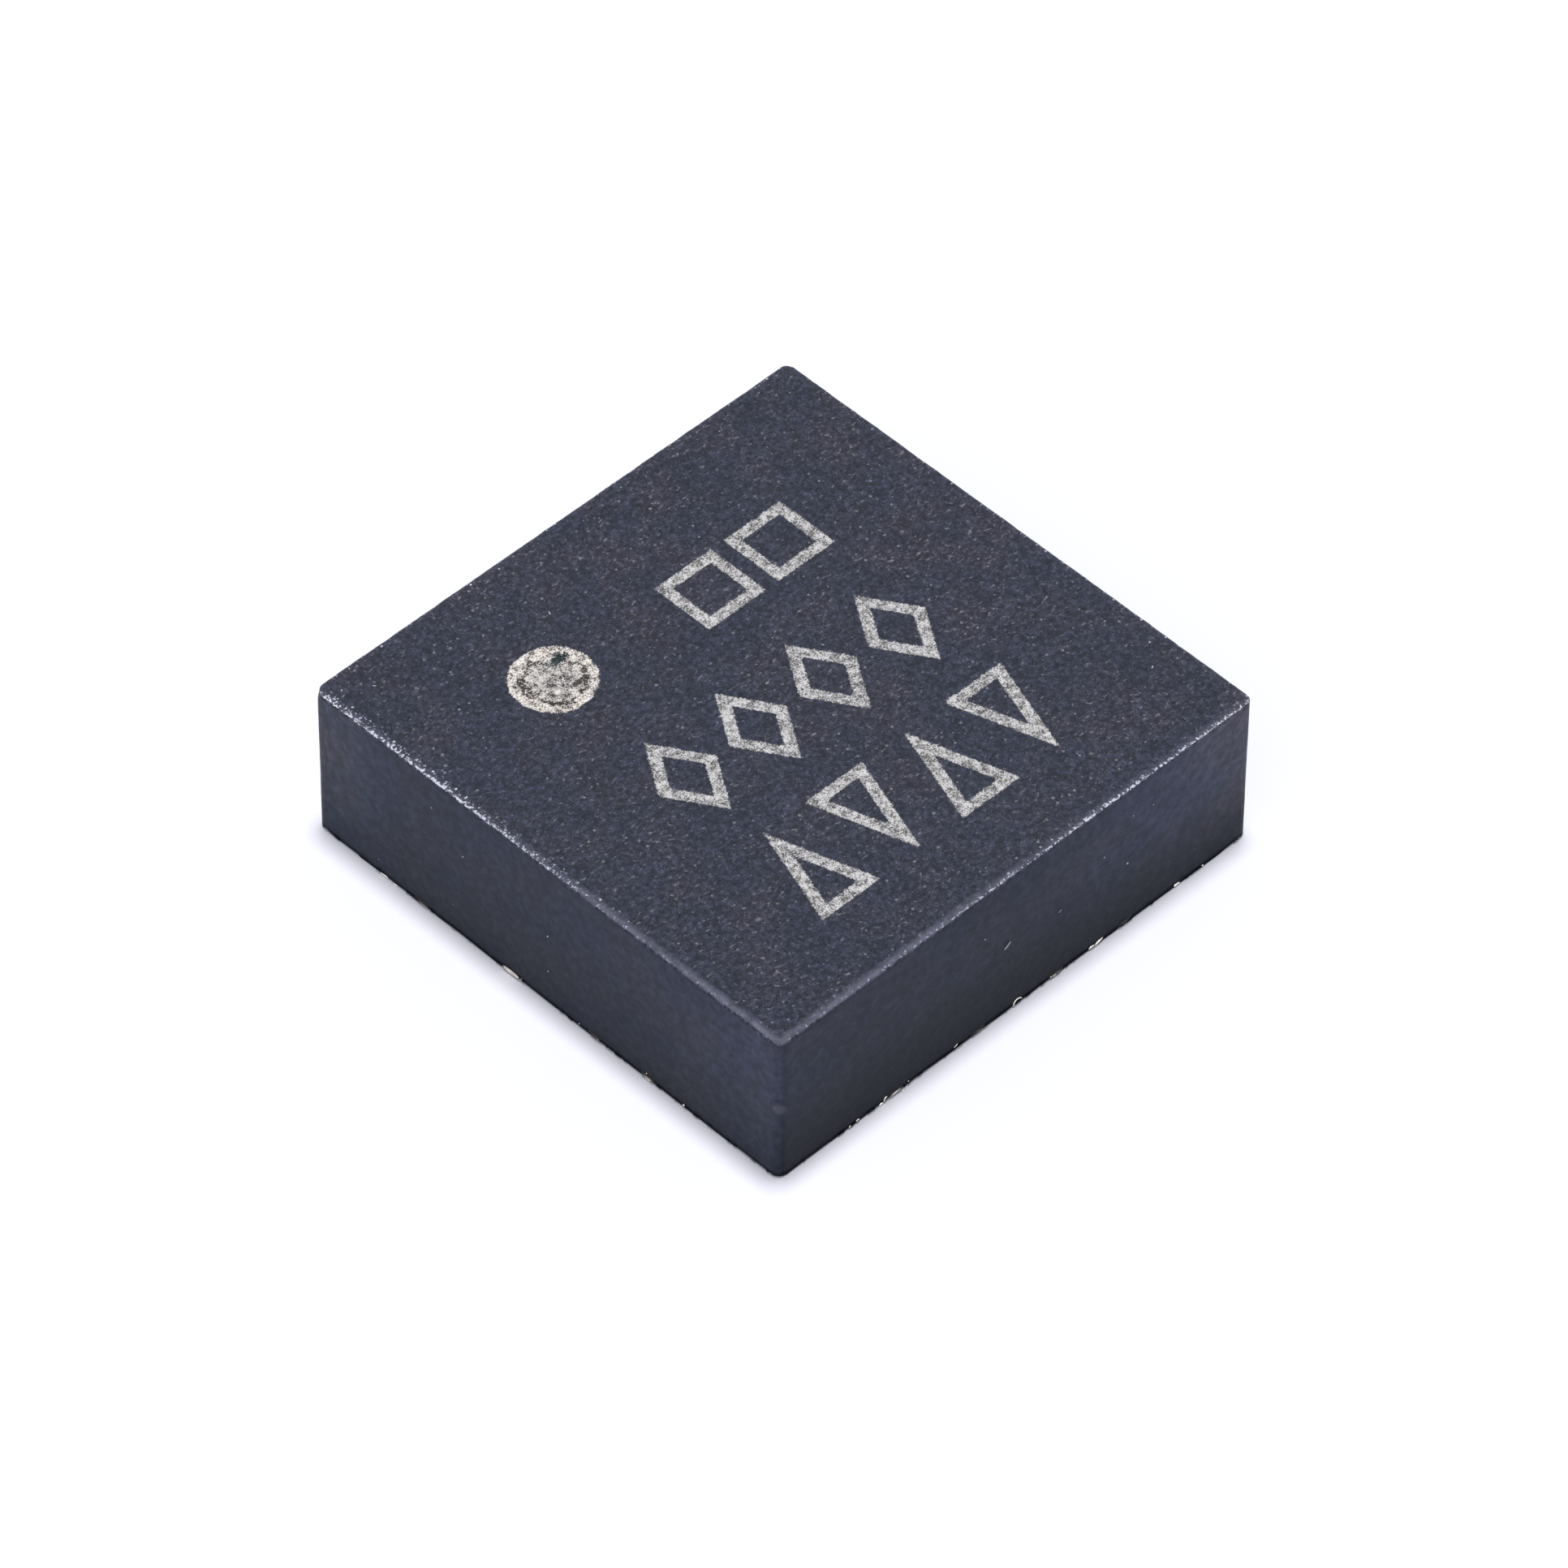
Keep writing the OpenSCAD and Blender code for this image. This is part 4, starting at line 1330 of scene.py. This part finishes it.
wormShape = {
    "swell": 0.3,  # power of the parabola by which the radius comes and goes
    "rough": 0.22,
    "roughSize": 0.009,  # mm
    "roughReach": 0.01,  # how far from the curve the roughness is read
    "clearance": 1.2,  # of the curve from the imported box, in radii
    "footClearance": 1.25,
    "firstSeed": 40,
}


# Closed worm: rings of points about a curve, whose radius swells from nothing by a power of a parabola,
# roughened by noise, with a point at each end
def worm(path, radius, seed, normal, count=14, sides=8):
    shape = wormShape
    line = curveThrough(path, count + 2) * mm
    heading = np.gradient(line, axis=0)
    heading /= np.linalg.norm(heading, axis=1)[:, None]
    sideways = np.cross(heading, normal)[1:-1, None]
    share = np.linspace(0, 1, count + 2)[1:-1]
    swell = (4 * share * (1 - share)) ** shape["swell"]
    angle = np.linspace(0, 2 * np.pi, sides, endpoint=False)[None, :, None]
    around = np.cos(angle) * sideways + np.sin(angle) * np.array(normal, float)
    middle = line[1:-1, None]
    readAt = (middle + around * shape["roughReach"] * mm).reshape(-1, 3) + seed * mm
    rough = 1 + shape["rough"] * softNoise(readAt, shape["roughSize"], seed).reshape(count, sides)
    rings = middle + around * (radius * mm * swell[:, None] * rough)[:, :, None]
    points = np.concatenate([rings.reshape(-1, 3), line[:1], line[-1:]])
    index = np.arange(count * sides).reshape(count, sides)
    after = np.roll(index, -1, axis=1)
    quads = np.stack([index[:-1], index[1:], after[1:], after[:-1]], axis=-1).reshape(-1, 4)
    head = np.column_stack([index[0], after[0], np.full(sides, count * sides)])
    tail = np.column_stack([after[-1], index[-1], np.full(sides, count * sides + 1)])
    return points, [quads, head, tail]


# Several worms as one mesh
def joined(worms):
    points, faces, count = [], [], 0
    for made, wound in worms:
        points.append(made)
        for part in wound:
            faces += (part + count).tolist()
        count += len(made)
    return np.concatenate(points), faces


# Paths on the walls are (distance along the wall, height), on the top (x, y), in mm, each with its radius.
# Left is the wall at -X, along Y; near is the wall at -Y, along X.
burrs = [
    ("left", [(1.082, 0.006), (1.055, 0.009), (1.024, 0.006)], 0.0050),
    ("left", [(0.992, 0.006), (0.975, 0.007), (0.960, 0.006)], 0.0032),
    ("left", [(0.170, 0.012), (0.152, 0.016), (0.143, 0.014)], 0.0072),
    ("left", [(-0.652, 0.009), (-0.668, 0.011), (-0.684, 0.008)], 0.0045),
    ("left", [(-0.660, 0.042), (-0.665, 0.044)], 0.0042),
    ("left", [(-0.892, 0.019), (-0.904, 0.019)], 0.0060),
    ("left", [(-0.346, 0.020), (-0.354, 0.023)], 0.0030),
    ("left", [(-0.226, 0.027), (-0.232, 0.029)], 0.0026),
    ("near", [(-0.872, 0.007), (-0.860, 0.012), (-0.848, 0.010)], 0.0052),
    ("near", [(-0.846, 0.014), (-0.836, 0.033), (-0.822, 0.033)], 0.0040),
    ("near", [(-0.802, 0.022), (-0.786, 0.018), (-0.768, 0.022), (-0.750, 0.028)], 0.0062),
    ("near", [(-1.064, 0.016), (-1.052, 0.019)], 0.0036),
    ("near", [(-1.018, 0.019), (-1.006, 0.024), (-0.998, 0.020)], 0.0038),
    ("near", [(-0.693, 0.030), (-0.687, 0.032)], 0.0032),
    ("near", [(-0.024, 0.007), (-0.020, 0.026), (-0.004, 0.040), (0.018, 0.036), (0.036, 0.020)], 0.0040),
    ("near", [(0.214, 0.018), (0.226, 0.020)], 0.0062),
    ("near", [(0.230, 0.010), (0.242, 0.012), (0.254, 0.018)], 0.0052),
    ("near", [(0.462, 0.012), (0.482, 0.018), (0.508, 0.015), (0.532, 0.020), (0.558, 0.027)], 0.0060),
    ("near", [(1.016, 0.010), (1.036, 0.014), (1.056, 0.011)], 0.0066),
    ("near", [(1.196, 0.012), (1.208, 0.013)], 0.0052),
    ("near", [(-0.404, 0.030), (-0.382, 0.037)], 0.0024),
]

dust = [
    ("left", [(-0.026, 0.446), (-0.030, 0.456)], 0.0042),
    ("left", [(0.523, 0.545), (0.516, 0.554)], 0.0034),
    ("left", [(-0.028, 0.216), (-0.031, 0.226)], 0.0032),
    ("left", [(1.085, 0.088), (1.085, 0.096)], 0.0026),
    ("left", [(0.722, 0.722), (0.716, 0.716)], 0.0022),
    ("near", [(-0.095, 0.443), (-0.074, 0.452), (-0.053, 0.468)], 0.0038),
    ("near", [(-0.222, 0.608), (-0.218, 0.614)], 0.0028),
    ("near", [(0.538, 0.566), (0.545, 0.572)], 0.0040),
    ("near", [(0.694, 0.408), (0.700, 0.416)], 0.0044),
    ("near", [(0.718, 0.708), (0.723, 0.714)], 0.0030),
    ("near", [(0.848, 0.684), (0.854, 0.688)], 0.0030),
    ("near", [(0.270, 0.434), (0.252, 0.424)], 0.0016),
    ("top", [(-0.412, 1.090), (-0.400, 1.110)], 0.0040),
    ("top", [(-1.118, 0.950), (-1.106, 0.946)], 0.0034),
    ("top", [(-1.418, 1.398), (-1.404, 1.408)], 0.0036),
    ("top", [(-1.292, 1.330), (-1.280, 1.316)], 0.0034),
    ("top", [(1.302, -1.046), (1.318, -1.038)], 0.0034),
    ("top", [(1.410, -0.930), (1.416, -0.920)], 0.0034),
]


# Worms on the walls and the top as one piece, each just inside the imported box
def makeWorms(name, items, material, slot):
    made = []
    for number, (where, path, radius) in enumerate(items):
        along, other = np.asarray(path).T
        inside = radius * wormShape["clearance"]
        if where == "top":
            centre, normal = [along, other, np.full(len(path), topLevel / mm - inside)], (0, 0, 1)
        else:
            out = np.full(len(path), -(halfWidth + stubProud) / mm + inside)
            height = np.maximum(other, radius * wormShape["footClearance"])
            centre = [out, along, height] if where == "left" else [along, out, height]
            normal = (-1, 0, 0) if where == "left" else (0, -1, 0)
        made.append(worm(np.column_stack(centre), radius, wormShape["firstSeed"] + number, normal))
    makePiece(name, *joined(made), [material], slot)


speckFinish = {
    "burr": {"light": (0.97, 0.95, 0.90, 1), "dark": (0.84, 0.80, 0.73, 1), "roughness": (0.12, 0.25)},
    "dust": {"light": (0.62, 0.62, 0.64, 1), "dark": (0.36, 0.36, 0.38, 1), "roughness": (0.6, 0.8)},
}
burrMetal = makeTonedMaterial("burr metal", speckFinish["burr"], metallic=1.0, patch=0.02, grainSize=0.006)
dustGrey = makeTonedMaterial("dust", speckFinish["dust"], metallic=0.0, patch=0.02, grainSize=0.006)


# Resin smeared down by the saw; lengths in mm
smear = {
    "seed": 77,
    "pieces": 40,  # on each wall
    "reach": 1.44,  # how far from the middle of the wall
    "length": (0.008, 0.045),
    "radius": (0.0015, 0.0035),
    "level": (0.006, 0.014),
    "arch": 0.003,
    "inset": 0.002,
    "clearance": 1.25,  # in radii
    "rings": 8,
    "sides": 6,
}


# Short dark worms along the foot of one wall, then turned to the other three
def makeSmear():
    seeded = np.random.default_rng(smear["seed"])
    wall = -(halfWidth + stubProud) / mm
    made = []
    for quarter in range(4):
        for place in np.sort(seeded.uniform(-smear["reach"], smear["reach"], smear["pieces"])):
            length = seeded.uniform(*smear["length"])
            radius = seeded.uniform(*smear["radius"])
            out = wall + radius * smear["clearance"] + seeded.uniform(0, smear["inset"])
            level = seeded.uniform(*smear["level"]) + radius
            path = [(out, place + step * length / 2, level) for step in (-1, 0, 1)]
            path[1] = (out, place, level + smear["arch"])
            seed = int(seeded.integers(1000))
            points, faces = worm(path, radius, seed, (-1, 0, 0), smear["rings"], smear["sides"])
            made.append((quarterTurned(points, quarter), faces))
    makePiece("sawSmear", *joined(made), [sawnFoot], "mould")


makeSmear()
makeWorms("sawBurrs", burrs, burrMetal, "gold_plate")
makeWorms("dustSpecks", dust, dustGrey, "mould")
print("burrs and dust made")


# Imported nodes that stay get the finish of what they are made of

nodeFinish = {
    "core_laminate": sawnWall,
    "top_mask": sawnWall,
    "asic_die": plains["silicon"],
    "sensor_die": plains["silicon"],
    "film": plains["die attach"],
    "trace": metals["copper"],
    "links": metals["copper"],
    "wire": metals["bond gold"],
    "solder": metals["solder"],
}

for name, node in cadNodes.items():
    for key, material in nodeFinish.items():
        if key in name:
            node.data.materials.clear()
            node.data.materials.append(material)
print("packed nodes finished")
